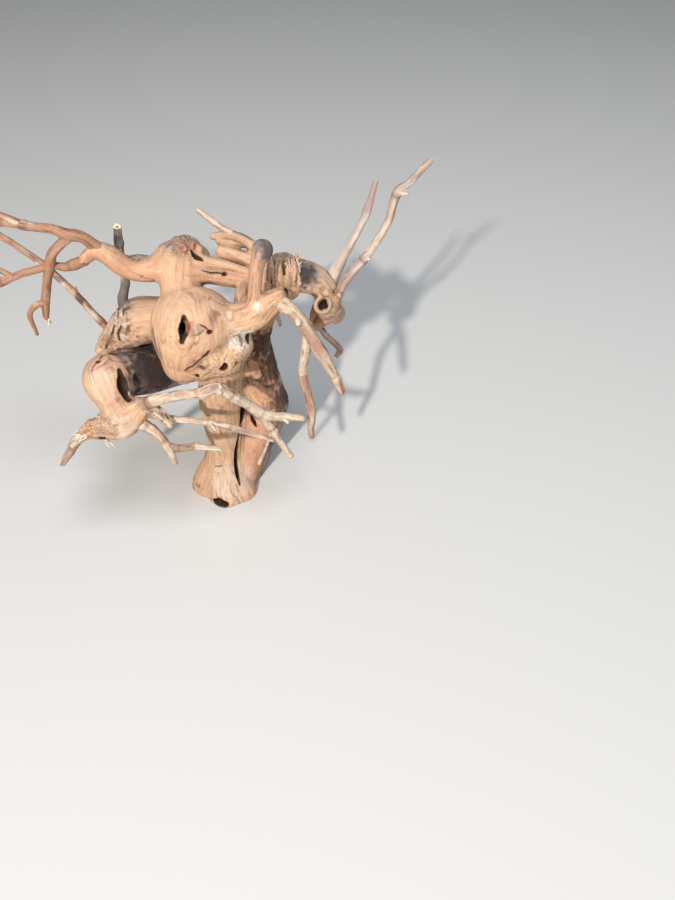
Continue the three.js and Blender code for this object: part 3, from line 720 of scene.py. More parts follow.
def net_quads(inside, index):
    """A quad round each edge of the grid that the surface crosses, turned to face outward."""
    quads = []
    for axis in range(3):
        u, v = (axis + 1) % 3, (axis + 2) % 3
        front = [slice(1, n - 1) for n in inside.shape]
        front[axis] = slice(0, inside.shape[axis] - 1)
        back = list(front)
        back[axis] = slice(1, inside.shape[axis])
        a, b = inside[tuple(front)], inside[tuple(back)]
        edges = np.argwhere(a != b)
        starts_inside = a[tuple(edges.T)]
        offset = np.ones(3, int)
        offset[axis] = 0
        edges = edges + offset
        around = []
        for du, dv in ((0, 0), (-1, 0), (-1, -1), (0, -1)):
            cell = edges.copy()
            cell[:, u] += du
            cell[:, v] += dv
            around.append(index[tuple(cell.T)])
        around = np.array(around).T
        around[~starts_inside] = around[~starts_inside][:, ::-1]
        quads.append(around)
    return np.vstack(quads)


def build_wood_field(forms):
    """The grown and carved wood as a grid, cut flat at the ground, and its wounds where they lie."""
    lows, highs = zip(*[form_box(form, WOOD_MARGIN) for form in forms])
    low, high = np.min(lows, axis=0), np.max(highs, axis=0)
    low[2] = -2.5 * WOOD_PITCH
    field = WoodField(low, high, WOOD_PITCH)
    for form in forms:
        field.add(form)
    wounds = lobe_wounds() + right_wounds() + left_wounds() + trunk_wounds()
    wounds = [field.seated(wound) for wound in wounds]
    for wound in wounds:
        field.carve(wound)
    field.add(knob_splinter())
    height = field.axes[2][None, None, :]
    field.value = np.maximum(field.value, -height).astype(np.float32)
    return field, wounds


# Noise
def hashed(cells, seed):
    """A repeatable number, -1 to 1, for each whole cell (N, 3)."""
    cells = cells.astype(np.int64)
    mixed = cells[:, 0] * 73856093 ^ cells[:, 1] * 19349663 ^ cells[:, 2] * 83492791 ^ seed * 2654435761
    mixed = (mixed ^ (mixed >> 13)) * 1274126177 & 0xFFFFFFFF
    mixed = (mixed ^ (mixed >> 16)) * 2246822519 & 0xFFFFFFFF
    return ((mixed >> 8) & 0xFFFF) / 32767.5 - 1


def lattice_noise(points, seed):
    """Smooth noise, about -1 to 1, at points (N, 3)."""
    base = np.floor(points)
    part = points - base
    ease = part * part * (3 - 2 * part)
    total = np.zeros(len(points))
    for corner in range(8):
        pick = np.array([(corner >> i) & 1 for i in range(3)])
        weight = np.prod(np.where(pick, ease, 1 - ease), axis=1)
        total += weight * hashed(base + pick, seed)
    return total


def cell_noise(points, seed):
    """Distances to the nearest and the next of points scattered one to each unit cell."""
    base = np.floor(points)
    first = np.full(len(points), 9.0)
    second = first.copy()
    for shift in np.ndindex(3, 3, 3):
        cell = base + np.array(shift) - 1
        jitter = np.stack([hashed(cell, seed + axis) for axis in range(3)], axis=1)
        gap = np.linalg.norm(points - cell - 0.5 - 0.42 * jitter, axis=1)
        second = np.minimum(second, np.maximum(first, gap))
        first = np.minimum(first, gap)
    return first, second


def patch_mask(points, patches):
    """How strongly each point lies in a patch, whose edge is ragged."""
    ragged = RAGGED * lattice_noise(points / RAGGED_WIDTH, 41)
    mask = np.zeros(len(points))
    for centre, reach, strength in patches:
        near = np.linalg.norm(points - np.array(centre), axis=1) / reach + ragged
        mask = np.maximum(mask, strength * smooth_step(-near, -1.25, -0.65))
    return mask


# Grain: a place whose length is shrunk, so that a noise read there runs along the wood
def frames_along(path):
    """The heading at each point of a path and a side direction that turns as little as it can."""
    along = unit(np.gradient(path[:, :3], axis=0))
    side = np.array([1.0, 0, 0]) if abs(along[0, 2]) > 0.8 else np.array([0, 0, 1.0])
    sides = []
    for heading in along:
        side = unit(side - heading * (side @ heading))
        sides.append(side)
    return along, np.array(sides)


def lengths_along(path):
    steps = np.linalg.norm(np.diff(path[:, :3], axis=0), axis=1)
    return np.concatenate([[0], np.cumsum(steps)])


def limb_grain(form, points):
    """Each point's gap to a limb's skin, and its grain place on that limb."""
    path = form["path"]
    along, sides = frames_along(path)
    lengths = lengths_along(path)
    girth = path[:, 3].mean()
    gap = np.full(len(points), FAR)
    place = np.zeros((len(points), 3))
    for k in range(len(path) - 1):
        start, end = path[k], path[k + 1]
        run = end[:3] - start[:3]
        offset = points - start[:3]
        part = np.clip(offset @ run / (run @ run), 0, 1)
        out = offset - part[:, None] * run
        here = np.linalg.norm(out, axis=1) - mix(start[3], end[3], part)
        near = np.nonzero(here < gap)[0]
        gap[near] = here[near]
        weight = part[near, None]
        side = mix(sides[k], sides[k + 1], weight)
        up = np.cross(mix(along[k], along[k + 1], weight), side)
        length = lengths[k] + part[near] * (lengths[k + 1] - lengths[k])
        angle = np.arctan2((out[near] * up).sum(1), (out[near] * side).sum(1)) + form["twist"] * length
        place[near] = np.stack([girth * np.cos(angle), girth * np.sin(angle), LENGTHWISE * length], axis=1)
    return gap, place


def swirl_grain(centre, axis, reach, points):
    """Each point's distance from a swirl's centre, and its place on rings taller than wide."""
    axis, across, rise = facing(axis)
    offset = points - np.array(centre)
    x, y, height = offset @ across, offset @ rise, offset @ axis
    wander = 0.09 * reach * lattice_noise(points / (0.3 * reach), 77)
    circle = np.hypot(1.5 * x, 0.62 * y) - 0.4 * height + wander
    angle = np.arctan2(y, x)
    shrunk = LENGTHWISE * reach
    place = np.stack([circle, shrunk * np.cos(angle), shrunk * np.sin(angle)], axis=1)
    return np.linalg.norm(offset, axis=1), place


def pull_of(gap, fade):
    """A pull that fades away from a skin and grows no more from PULL_DEPTH under it."""
    return np.exp(-np.maximum(gap, -PULL_DEPTH) / fade)


def flows_at(points, forms):
    """Every flow of the grain: the points that it reaches, their places and its pull on them."""
    flows = []
    for form in forms:
        if form["kind"] == "limb":
            where = near_form(points, form, FLOW_REACH)
            gap, place = limb_grain(form, points[where])
            flows.append((where, place, pull_of(gap, FLOW_FADE)))
    for centre, axis, reach in SWIRLS:
        far, place = swirl_grain(centre, axis, reach, points)
        where = np.nonzero(far < 2 * reach)[0]
        flows.append((where, place[where], 6 * np.exp(-3 * (far[where] / reach) ** 2)))
    return flows


def grain_noises(points, forms):
    """The noises along the grain, blended from the flows, and each point's main flow and place."""
    flows = flows_at(points, forms)
    strongest = np.full(len(points), 1e-6)
    main = np.zeros(len(points), int)
    own_place = points.copy()
    for number, (where, place, pull) in enumerate(flows):
        wins = pull > strongest[where]
        strongest[where[wins]] = pull[wins]
        main[where[wins]] = number
        own_place[where[wins]] = place[wins]
    widths = {"sinew": SINEW_WIDTH, "ridge": RIDGE_WIDTH, "split": SPLIT_WIDTH, "torn": TORN_WIDTH}
    noises = {name: np.zeros(len(points)) for name in widths}
    squares = np.full(len(points), 1e-9)
    for number, (where, place, pull) in enumerate(flows):
        share = pull / strongest[where]
        felt = np.nonzero(share > 0.12)[0]
        spots, share = where[felt], share[felt]
        squares[spots] += share ** 2
        for seed, (name, width) in enumerate(widths.items()):
            noises[name][spots] += share * lattice_noise(place[felt] / width, seed * 101 + number)
    for name in noises:
        noises[name] /= np.sqrt(squares)
    return noises, flows, main, own_place


def corner_places(quads, flows, main, own_place):
    """The grain place at each face corner, all four on the flow of the first."""
    corners = own_place[quads]
    flow_of_face = main[quads[:, 0]]
    mixed = (main[quads] != flow_of_face[:, None]).any(axis=1)
    for number, (where, place, _) in enumerate(flows):
        faces = np.nonzero(mixed & (flow_of_face == number))[0]
        if len(faces):
            lookup = own_place.copy()
            lookup[where] = place
            corners[faces] = lookup[quads[faces]]
    return corners


def form_traits(points, forms):
    """Tone, grey and relief at each point from the forms near it, and the nearest group."""
    total = np.full(len(points), 1e-9)
    traits = {name: np.zeros(len(points)) for name in ("tone", "grey", "relief")}
    nearest = np.full(len(points), FAR)
    group = np.zeros(len(points), int)
    for form in forms:
        where = near_form(points, form, TRAIT_REACH)
        gap = form_gap(form, points[where])
        weight = pull_of(gap, TRAIT_FADE)
        total[where] += weight
        for name in traits:
            traits[name][where] += weight * form[name]
        wins = gap < nearest[where]
        nearest[where[wins]] = gap[wins]
        group[where[wins]] = form["group"]
    return {name: values / total for name, values in traits.items()}, group


def relief_of(points, noises, traits):
    """How far each point stands out, and the dark lines, pits, stains and painted shade that its finish
    shows.
    """
    patchy = lattice_noise(points / PATCHY_WIDTH, 5) + 0.5 * lattice_noise(points / PATCHY_FINE, 6)
    split = np.exp(-(noises["split"] / SPLIT_SHARP) ** 2) * smooth_step(patchy, -0.05, 0.55)
    rise = traits["relief"] * (SINEW_RISE * noises["sinew"] + RIDGE_RISE * noises["ridge"])
    rise -= np.minimum(traits["relief"], 1.2) * SPLIT_DEPTH * split
    dark = split * SPLIT_DARK
    knobbly = patch_mask(points, KNOBBLY)
    spots = np.nonzero(knobbly > FELT)[0]
    swell, seams = knuckles(points[spots])
    rise[spots] += knobbly[spots] * swell
    dark[spots] = np.maximum(dark[spots], KNOB_DARK * knobbly[spots] * seams)
    rotten = patch_mask(points, ROTTEN)
    spots = np.nonzero(rotten > FELT)[0]
    eaten = eaten_away(points[spots])
    rise[spots] += rotten[spots] * (0.4 * ROT_DEPTH * noises["torn"][spots] - ROT_DEPTH * eaten)
    dark[spots] = np.maximum(dark[spots], ROT_DARK * rotten[spots] * eaten)
    torn = patch_mask(points, TORN)
    shred = np.abs(noises["torn"])
    rise += torn * TORN_RISE * (2 * smooth_step(shred, 0.05, 0.6) - 1)
    dark = np.maximum(dark, torn * TORN_DARK * smooth_step(-shred, -0.16, 0.0))
    # Stains, and painted shade where the wood lies in shadow, darken the finish
    dark = np.maximum(dark, patch_mask(points, STAINS_AND_PAINTED_SHADE))
    return rise, {"dark": dark, "pale": patch_mask(points, PALE), "rusty": patch_mask(points, RUSTY)}


def knuckles(points):
    """The swell of rounded knuckles, large and small, and 1 in the seams between them."""
    sway = np.stack([lattice_noise(points / KNOB_WIDTH, 60 + axis) for axis in range(3)], axis=1)
    first, second = cell_noise(points / KNOB_WIDTH + KNOB_SWAY * sway, 3)
    fine, next_fine = cell_noise(points / (0.5 * KNOB_WIDTH), 7)
    swell = KNOB_RISE * (0.45 - first) + 0.3 * KNOB_RISE * (0.45 - fine)
    seams = smooth_step(first - second, -0.13, 0.0)
    return swell, np.maximum(seams, 0.6 * smooth_step(fine - next_fine, -0.16, 0.0))


def eaten_away(points):
    """1 in the holes of rotten wood, large and small."""
    first, _ = cell_noise(points / ROT_WIDTH, 11)
    small, _ = cell_noise(points / (0.5 * ROT_WIDTH), 13)
    return np.maximum(smooth_step(-first, -0.56, -0.20), 0.7 * smooth_step(-small, -0.50, -0.18))


def wound_marks(points, wounds):
    """1 on the walls of the pits and cracks, fading at their rims, and how dark their dark inner wood and
    painted shade make those walls.
    """
    wounded, wall_shade = np.zeros(len(points)), np.zeros(len(points))
    for wound in wounds:
        where = near_form(points, wound, WOUND_REACH)
        gap = form_gap(wound, points[where])
        rim = np.clip(1.2 * wound_radius(wound), RIM_LEAST, RIM_MOST)
        inside = smooth_step(-gap, -rim, -0.2 * rim)
        wounded[where] = np.maximum(wounded[where], inside)
        wall_shade[where] = np.maximum(wall_shade[where], wound["mark"] * inside)
    return wounded, wall_shade


def wound_radius(wound):
    return wound["path"][:, 3].max() if wound["kind"] == "limb" else wound["radii"].min()


def vertex_normals(points, quads):
    a, b, c, d = (points[quads[:, i]] for i in range(4))
    face = np.cross(c - a, d - b)
    total = np.zeros_like(points)
    for axis in range(3):
        weights = np.repeat(face[:, axis], 4)
        total[:, axis] = np.bincount(quads.ravel(), weights=weights, minlength=len(points))
    return unit(total)


# Meshes
def mesh_piece(name, points, faces, material):
    """A smooth mesh, kept inside the box of the solids."""
    points = np.clip(points, *np.array(cad_box))
    mesh = bpy.data.meshes.new(name)
    mesh.from_pydata(points.tolist(), [], faces.tolist() if hasattr(faces, "tolist") else faces)
    mesh.polygons.foreach_set("use_smooth", [True] * len(mesh.polygons))
    mesh.materials.append(material)
    piece = bpy.data.objects.new(name, mesh)
    bpy.context.scene.collection.objects.link(piece)
    return piece


def set_value(piece, name, values):
    layer = piece.data.attributes.new(name, "FLOAT", "POINT")
    layer.data.foreach_set("value", np.asarray(values, np.float32))


def set_corner_place(piece, places):
    layer = piece.data.attributes.new("grain_place", "FLOAT_VECTOR", "CORNER")
    layer.data.foreach_set("vector", np.asarray(places, np.float32).ravel())


WOOD_PIECES = [
    ("trunk_skin", "trunk_wood", ("trunk", "back_arm")),
    ("head_skin", "head_wood", ("crown_head",)),
    ("left_arms_skin", "head_wood", ("left_shoulder", "knob_arm", "spur_head", "upper_left_arm")),
    ("right_arms_skin", "head_wood", ("front_right_arm", "upright_stub", "right_limb", "upper_right_limb",
                                      "far_right_arm", "cut_spur")),
    ("burl_skin", "decayed_wood", ("decayed_burl",)),
]


def all_forms():
    groups = [trunk_forms() + back_forms(), head_forms(), left_forms(), right_forms(), burl_forms()]
    for number, forms in enumerate(groups):
        for form in forms:
            form["group"] = number
    return [form for forms in groups for form in forms]


def weathered_skin(field, wounds, points, quads, noises, traits):
    """The points of the wood moved by its relief, the marks of its finish and its normals."""
    normals = field.outward(points)
    rise, marks = relief_of(points, noises, traits)
    wounded, wall_shade = wound_marks(points, wounds)
    rise *= 1 - wounded
    # Dark inner wood and painted shade on the wound walls, less where they are rusty
    marks["dark"] = np.maximum(marks["dark"], wall_shade) * (1 - 0.8 * np.clip(marks["rusty"], 0, 1))
    rise *= smooth_step(points[:, 2], 0.0, FOOT_FADE)
    # Dirt and painted shade in the hollows: the deeper the hollow, the darker its skin
    hollow = 1 - field.sample(points + CAVITY_REACH * normals) / CAVITY_REACH
    marks["hollow_shade_and_dirt"] = np.clip(CAVITY_GAIN * hollow - CAVITY_START - CAVITY_RISE * rise, 0, 1)
    points = points + rise[:, None] * normals
    points[:, 2] = np.maximum(points[:, 2], 0)
    skin_normals = vertex_normals(points, quads)
    marks["tone"] = np.clip(traits["tone"] + 0.16 * noises["sinew"], 0, 1)
    sunward = smooth_step(skin_normals[:, 2], 0.35, 0.95)
    # The grey mark also carries the painted shade of the greyed patches
    marks["grey"] = np.clip(traits["grey"] + 0.12 * sunward + patch_mask(points, GREYED_AND_PAINTED_SHADE), 0, 1)
    return points, marks, skin_normals


def wood_pieces(material):
    """The trunk, the head, the arms and the burl as one skin, cut into a mesh for each group."""
    forms = all_forms()
    field, wounds = build_wood_field(forms)
    points, quads = surface_of(field)
    traits, group = form_traits(points, forms)
    noises, flows, main, own_place = grain_noises(points, forms)
    places = corner_places(quads, flows, main, own_place)
    points, marks, normals = weathered_skin(field, wounds, points, quads, noises, traits)
    group_of_face = group[quads[:, 0]]
    for number, (name, slot, nodes) in enumerate(WOOD_PIECES):
        chosen = group_of_face == number
        used, renumbered = np.unique(quads[chosen], return_inverse=True)
        piece = mesh_piece(name, points[used], renumbered.reshape(-1, 4), material)
        for mark, values in marks.items():
            set_value(piece, mark, values[used])
        set_corner_place(piece, places[chosen])
        piece.data.normals_split_custom_set_from_vertices(normals[used].tolist())
        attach(piece, "root")
        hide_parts(*nodes)


# Canes, each by its bends from the arm outward
CANE_RUNS = {
    "left_high": [(-0.104, -0.054, 0.606, 0.009), (-0.124, -0.059, 0.629, 0.008),
                  (-0.143, -0.060, 0.636, 0.0085), (-0.166, -0.060, 0.643, 0.0064),
                  (-0.202, -0.055, 0.647, 0.0062), (-0.239, -0.050, 0.649, 0.006),
                  (-0.290, -0.045, 0.651, 0.0054), (-0.350, -0.040, 0.656, 0.0044)],
    "left_high_fork": [(-0.208, -0.055, 0.650, 0.0057), (-0.235, -0.050, 0.659, 0.0043),
                       (-0.271, -0.040, 0.668, 0.0035)],
    "left_hanging": [(-0.141, -0.060, 0.633, 0.008), (-0.157, -0.065, 0.622, 0.0065),
                     (-0.171, -0.070, 0.610, 0.0066), (-0.179, -0.070, 0.593, 0.008),
                     (-0.192, -0.070, 0.565, 0.0062), (-0.208, -0.070, 0.526, 0.0065),
                     (-0.217, -0.070, 0.495, 0.0048)],
    "left_hook": [(-0.206, -0.070, 0.526, 0.0055), (-0.222, -0.075, 0.522, 0.0046),
                  (-0.236, -0.075, 0.508, 0.0039), (-0.239, -0.075, 0.467, 0.0028)],
    "left_low": [(-0.180, -0.070, 0.590, 0.006), (-0.219, -0.075, 0.581, 0.0052),
                 (-0.259, -0.080, 0.569, 0.006), (-0.302, -0.085, 0.562, 0.0052),
                 (-0.338, -0.092, 0.553, 0.0042)],
    "left_low_fork": [(-0.236, -0.078, 0.575, 0.005), (-0.255, -0.075, 0.584, 0.0037),
                      (-0.281, -0.070, 0.590, 0.003)],
    "left_link": [(-0.130, -0.056, 0.592, 0.008), (-0.150, -0.055, 0.582, 0.008),
                  (-0.162, -0.060, 0.582, 0.0056), (-0.180, -0.070, 0.592, 0.005)],
    "left_back": [(-0.128, -0.022, 0.410, 0.008), (-0.163, 0, 0.436, 0.006), (-0.196, 0.015, 0.483, 0.0059),
                  (-0.239, 0.025, 0.532, 0.0057), (-0.293, 0.035, 0.579, 0.0052),
                  (-0.331, 0.042, 0.602, 0.0046), (-0.378, 0.052, 0.634, 0.0038)],
    "far_left": [(-0.160, -0.164, 0.338, 0.012), (-0.191, -0.170, 0.319, 0.009),
                 (-0.212, -0.172, 0.291, 0.0068), (-0.233, -0.175, 0.263, 0.006)],
    "front": [(-0.084, -0.151, 0.372, 0.014), (-0.053, -0.155, 0.396, 0.009), (-0.014, -0.155, 0.406, 0.008),
              (0.025, -0.150, 0.408, 0.008), (0.052, -0.145, 0.413, 0.0086), (0.075, -0.140, 0.392, 0.0078),
              (0.098, -0.130, 0.360, 0.0084), (0.120, -0.125, 0.335, 0.0094),
              (0.149, -0.120, 0.323, 0.0073), (0.185, -0.115, 0.316, 0.0063)],
    "front_fork": [(0.117, -0.125, 0.335, 0.009), (0.131, -0.125, 0.296, 0.007),
                   (0.143, -0.130, 0.273, 0.0057), (0.161, -0.135, 0.239, 0.0056)],
    "front_twig": [(0.130, -0.125, 0.298, 0.0052), (0.118, -0.130, 0.260, 0.004),
                   (0.102, -0.135, 0.217, 0.0038)],
    "front_stub": [(0.055, -0.146, 0.408, 0.0088), (0.057, -0.146, 0.417, 0.0046),
                   (0.058, -0.146, 0.425, 0.0010)],
    "split": [(-0.074, -0.152, 0.384, 0.010), (-0.047, -0.160, 0.375, 0.0096),
              (-0.031, -0.165, 0.352, 0.008)],
    "middle": [(-0.076, -0.150, 0.364, 0.008), (-0.030, -0.150, 0.351, 0.0054),
               (0.030, -0.145, 0.334, 0.0051), (0.065, -0.140, 0.319, 0.0058),
               (0.132, -0.135, 0.281, 0.0038)],
    "under": [(-0.092, -0.154, 0.350, 0.012), (-0.068, -0.160, 0.338, 0.008), (-0.049, -0.165, 0.309, 0.0076),
              (-0.039, -0.170, 0.284, 0.0056), (-0.037, -0.170, 0.262, 0.0042)],
    "under_fork": [(-0.046, -0.165, 0.300, 0.0066), (-0.026, -0.160, 0.288, 0.0056),
                   (-0.002, -0.155, 0.285, 0.006), (0.043, -0.150, 0.274, 0.0043)],
    "right_high": [(0.230, 0.018, 0.474, 0.013), (0.238, 0.030, 0.506, 0.010), (0.262, 0.045, 0.550, 0.0078),
                   (0.291, 0.065, 0.599, 0.0064), (0.306, 0.085, 0.644, 0.0042)],
    "right_far": [(0.240, 0.008, 0.470, 0.010), (0.259, 0.020, 0.505, 0.0076), (0.290, 0.030, 0.541, 0.0069),
                  (0.326, 0.050, 0.593, 0.0062), (0.338, 0.065, 0.634, 0.0066),
                  (0.358, 0.070, 0.651, 0.0054), (0.388, 0.080, 0.679, 0.0052)],
    "right_low": [(0.144, -0.076, 0.535, 0.015), (0.164, -0.078, 0.526, 0.0116),
                  (0.182, -0.080, 0.505, 0.0102), (0.217, -0.090, 0.447, 0.0104),
                  (0.241, -0.095, 0.391, 0.0076), (0.252, -0.100, 0.364, 0.0066)],
    "right_drop": [(0.198, -0.083, 0.480, 0.008), (0.194, -0.085, 0.443, 0.0077),
                   (0.187, -0.089, 0.398, 0.0079), (0.193, -0.090, 0.354, 0.0072),
                   (0.199, -0.095, 0.316, 0.0074), (0.197, -0.095, 0.250, 0.0058)],
    "hooked": [(0.207, -0.004, 0.440, 0.007), (0.224, -0.010, 0.416, 0.0049), (0.249, -0.011, 0.380, 0.0056),
               (0.241, -0.015, 0.368, 0.0036)],
    "top_right": [(0.078, 0.034, 0.582, 0.006), (0.056, 0.040, 0.592, 0.005), (0.023, 0.050, 0.615, 0.0042)],
    "back_long": [(0.070, 0.152, 0.322, 0.010), (0.048, 0.196, 0.300, 0.007), (0.022, 0.232, 0.262, 0.006),
                  (0.008, 0.262, 0.206, 0.0046)],
    "back_short": [(0.080, 0.152, 0.324, 0.009), (0.106, 0.190, 0.312, 0.0064),
                   (0.118, 0.222, 0.282, 0.0052), (0.120, 0.246, 0.240, 0.004)],
    "stick": [(-0.104, -0.028, 0.440, 0.011), (-0.116, 0.006, 0.446, 0.010), (-0.123, 0.028, 0.460, 0.008),
              (-0.117, 0.040, 0.486, 0.007), (-0.116, 0.050, 0.520, 0.007), (-0.118, 0.060, 0.548, 0.007),
              (-0.114, 0.066, 0.576, 0.0065)],
}

# Each mass by its node: the runs, the seed of its twigs, how grey and how brown it is
CANE_MASSES = {
    "canes_upper_left": (("left_high", "left_high_fork", "left_hanging", "left_hook", "left_low",
                          "left_low_fork", "left_link"), 3, 0.0, 1.25),
    "long_left_cane": (("left_back",), 5, 0.1, 1.1),
    "far_left_cane": (("far_left",), 8, 0.2, 0.6),
    "front_canes": (("front", "front_fork", "front_twig", "front_stub"), 13, 0.1, 0.25),
    "split_stub": (("split",), 1, 0.05, 0.6),
    "middle_cane": (("middle",), 21, 0.15, 0.4),
    "under_canes": (("under", "under_fork"), 2, 0.15, 0.4),
    "right_high_cane": (("right_high",), 34, 0.6, 0.5),
    "right_far_cane": (("right_far",), 55, 0.5, 0.5),
    "right_low_canes": (("right_low", "right_drop"), 89, 0.1, 0.35),
    "hooked_cane": (("hooked",), 4, 0.3, 0.5),
    "top_right_cane": (("top_right",), 6, 0.3, 0.5),
    "back_long_cane": (("back_long",), 7, 0.3, 0.5),
    "back_short_cane": (("back_short",), 9, 0.3, 0.5),
}

# Torn fibres by the mesh that they join: where, heading, spread, how many, how long and thick
SPLINTERS = {
    "canes_upper_left": [((-0.217, -0.070, 0.497), (-0.15, 0.0, -1.0), 0.35, 5, 0.013, 0.0016)],
    "far_left_cane": [((-0.172, -0.174, 0.338), (-0.8, -0.1, -0.4), 0.4, 9, 0.022, 0.0018),
                      ((-0.138, -0.176, 0.326), (0.45, 0.0, -0.85), 0.5, 9, 0.020, 0.0018)],
    "back_stick": [((-0.106, -0.050, 0.480), (0.02, 0.05, 1.0), 0.06, 9, 0.022, 0.0024)],
    "decayed_burl": [((0.158, -0.004, 0.560), (0.05, -0.05, 1.0), 0.2, 5, 0.018, 0.0011),
                     ((0.176, -0.002, 0.548), (0.3, -0.05, 0.9), 0.2, 5, 0.020, 0.0011)],
}


# What the finish reads on the rim, the inner wood and the pith of a cut
CUT_MARKS = {"dark": (0.0, 0.1, 1.0), "pale": (1.0, 1.0, 0.3),
             "grey": (0.2, 0.2, 0.0), "tone": (0.4, 0.4, 0.6)}


class Tubes:
    """Tapering tubes gathered into one mesh, with what their finish reads."""

    def __init__(self):
        self.points = []
        self.faces = []
        self.places = []
        self.marks = {"dark": [], "pale": [], "grey": [], "tone": []}
        self.count = 0

    def add(self, rings, places, marks):
        """rings (M, K, 3) joined into a tube, closed at both ends on their middle points."""
        rows, sides = rings.shape[:2]
        start_cap, end_cap = rings[0].mean(0), rings[-1].mean(0)
        self.points.append(np.vstack([rings.reshape(-1, 3), start_cap, end_cap]))
        flat = places.reshape(-1, 3)
        flat = np.vstack([flat, flat[0], flat[-1]])
        for name, values in marks.items():
            spread = np.broadcast_to(values, (rows, sides)).ravel()
            self.marks[name].append(np.concatenate([spread, [spread[0], spread[-1]]]))
        index = np.arange(rows * sides).reshape(rows, sides)
        turned = np.roll(index, -1, axis=1)
        body = np.stack([index[:-1], turned[:-1], turned[1:], index[1:]], axis=-1).reshape(-1, 4)
        near = [(rows * sides, int(turned[0, k]), int(index[0, k])) for k in range(sides)]
        far = [(rows * sides + 1, int(index[-1, k]), int(turned[-1, k])) for k in range(sides)]
        faces = body.tolist() + near + far
        self.faces += [[corner + self.count for corner in face] for face in faces]
        self.places += [flat[corner] for face in faces for corner in face]
        self.count += len(flat)

    def piece(self, name, material):
        made = mesh_piece(name, np.vstack(self.points), self.faces, material)
        for mark, values in self.marks.items():
            set_value(made, mark, np.concatenate(values))
        set_corner_place(made, np.array(self.places))
        return made


def ring_angles(sides):
    return 2 * math.pi * np.arange(sides) / sides


def tube_rings(path, swell, sides):
    """Rings of points round a path, each radius times swell (M, sides), and their grain places."""
    along, side = frames_along(path)
    up = np.cross(along, side)
    angles = ring_angles(sides)
    out = side[:, None] * np.cos(angles)[None, :, None] + up[:, None] * np.sin(angles)[None, :, None]
    rings = path[:, None, :3] + out * (path[:, 3:4] * swell)[..., None]
    girth = path[:, 3].mean()
    lengths = lengths_along(path)
    places = np.stack([np.broadcast_to(girth * np.cos(angles), swell.shape),
                       np.broadcast_to(girth * np.sin(angles), swell.shape),
                       np.broadcast_to(LENGTHWISE * lengths[:, None], swell.shape)], axis=-1)
    return rings, places


def noise_on(places, width, seed):
    """Smooth noise of the given width at places (M, K, 3)."""
    return lattice_noise(places.reshape(-1, 3) / width, seed).reshape(places.shape[:2])


def bud_rows(bends):
    """The places of the buds, as the rule that grew the solids spaced them."""
    return smooth_path(np.array(bends), BUD_SPACING, 1)


def cane_line(bends, seed):
    """The path of a cane, turning a little at each bud and wandering, with where its buds are."""
    path = smooth_path(np.array(bends), CANE_STEP, 2)
    lengths = lengths_along(path)
    buds = bud_rows(bends)[1:-1]
    at_buds = [lengths[np.argmin(np.linalg.norm(path[:, :3] - bud[:3], axis=1))] for bud in buds]
    knees = np.array([0, *at_buds, lengths[-1]])
    shifts = np.array([0, *[(-1) ** k * ZIGZAG for k in range(len(at_buds))], 0])
    along, side = frames_along(path)
    path[:, :3] += np.interp(lengths, knees, shifts)[:, None] * np.cross(along, side)
    wander = np.stack([lattice_noise(path[:, :3] / WANDER_WIDTH, seed + i) for i in range(3)], axis=1)
    path[:, :3] += WANDER * wander * smooth_step(lengths, 0, 0.02)[:, None]
    return path, lengths, at_buds


def bud_swells(path, lengths, at_buds, draws):
    """How much each ring of a cane swells at the buds, and the dark line below each bud."""
    swell = np.ones((len(path), CANE_SIDES))
    node_line = np.zeros(len(path))
    for k, at_bud in enumerate(at_buds):
        strength = next(draws) ** 2
        radius = np.interp(at_bud, lengths, path[:, 3])
        near = (lengths - at_bud) / radius
        swell += BUD_SWELL * (0.25 + strength) * np.exp(-(near / (1.2 + next(draws))) ** 2)[:, None]
        bulge = np.maximum(np.cos(ring_angles(CANE_SIDES) - math.pi * (k % 2) - 3 * next(draws)), 0) ** 3
        swell += 0.30 * strength * np.exp(-((near - 0.4) / 0.7) ** 2)[:, None] * bulge
        node_line = np.maximum(node_line, 0.6 * strength * np.exp(-((near + 0.7) / 0.35) ** 2))
    return swell, node_line


def cane_tube(tubes, bends, seed, grey, tone, rib=CANE_RIB):
    """A cane with swollen buds at its bends, a slight zigzag, fine ribs and a cut end."""
    path, lengths, at_buds = cane_line(bends, seed)
    draws = seeded_draws(seed + 40)
    swell, node_line = bud_swells(path, lengths, at_buds, draws)
    rings, places = tube_rings(path, swell, CANE_SIDES)
    ribs = noise_on(places, RIB_WIDTH, seed)
    strips = noise_on(places, STRIP_WIDTH, seed + 2)
    patches = noise_on(rings, BLOTCH_WIDTH, seed + 4)
    dents = noise_on(rings, DENT_WIDTH, seed + 9)
    gash = np.zeros_like(swell)
    if rib > CANE_RIB:
        waves = np.sin(2.5 * ring_angles(CANE_SIDES)[None, :] + 1.2 * dents)
        gash = smooth_step(-np.abs(waves), -0.30, -0.08)
    swell = swell * (1 + rib * ribs + 0.06 * dents + 0.03 * strips - 0.25 * gash)
    rings, places = tube_rings(path, swell, CANE_SIDES)
    stretches = np.array([next(draws) - 0.4 for _ in range(len(at_buds) + 1)])
    browner = stretches[np.searchsorted(at_buds, lengths)][:, None]
    lines = (0.5 + 2 * CANE_RIB) * smooth_step(-ribs, 0.30, 0.75)
    marks = {"dark": np.maximum(np.maximum(node_line[:, None], lines), gash),
             "pale": 0.6 * smooth_step(strips + 0.5 * patches, 0.25, 0.8),
             "grey": np.clip(grey + 0.3 * patches, 0, 1),
             "tone": np.clip(tone + 0.7 * browner - 0.4 * strips + 0.45 * patches, 0, 1)}
    tubes.add(*cut_end(path, rings, places, marks))


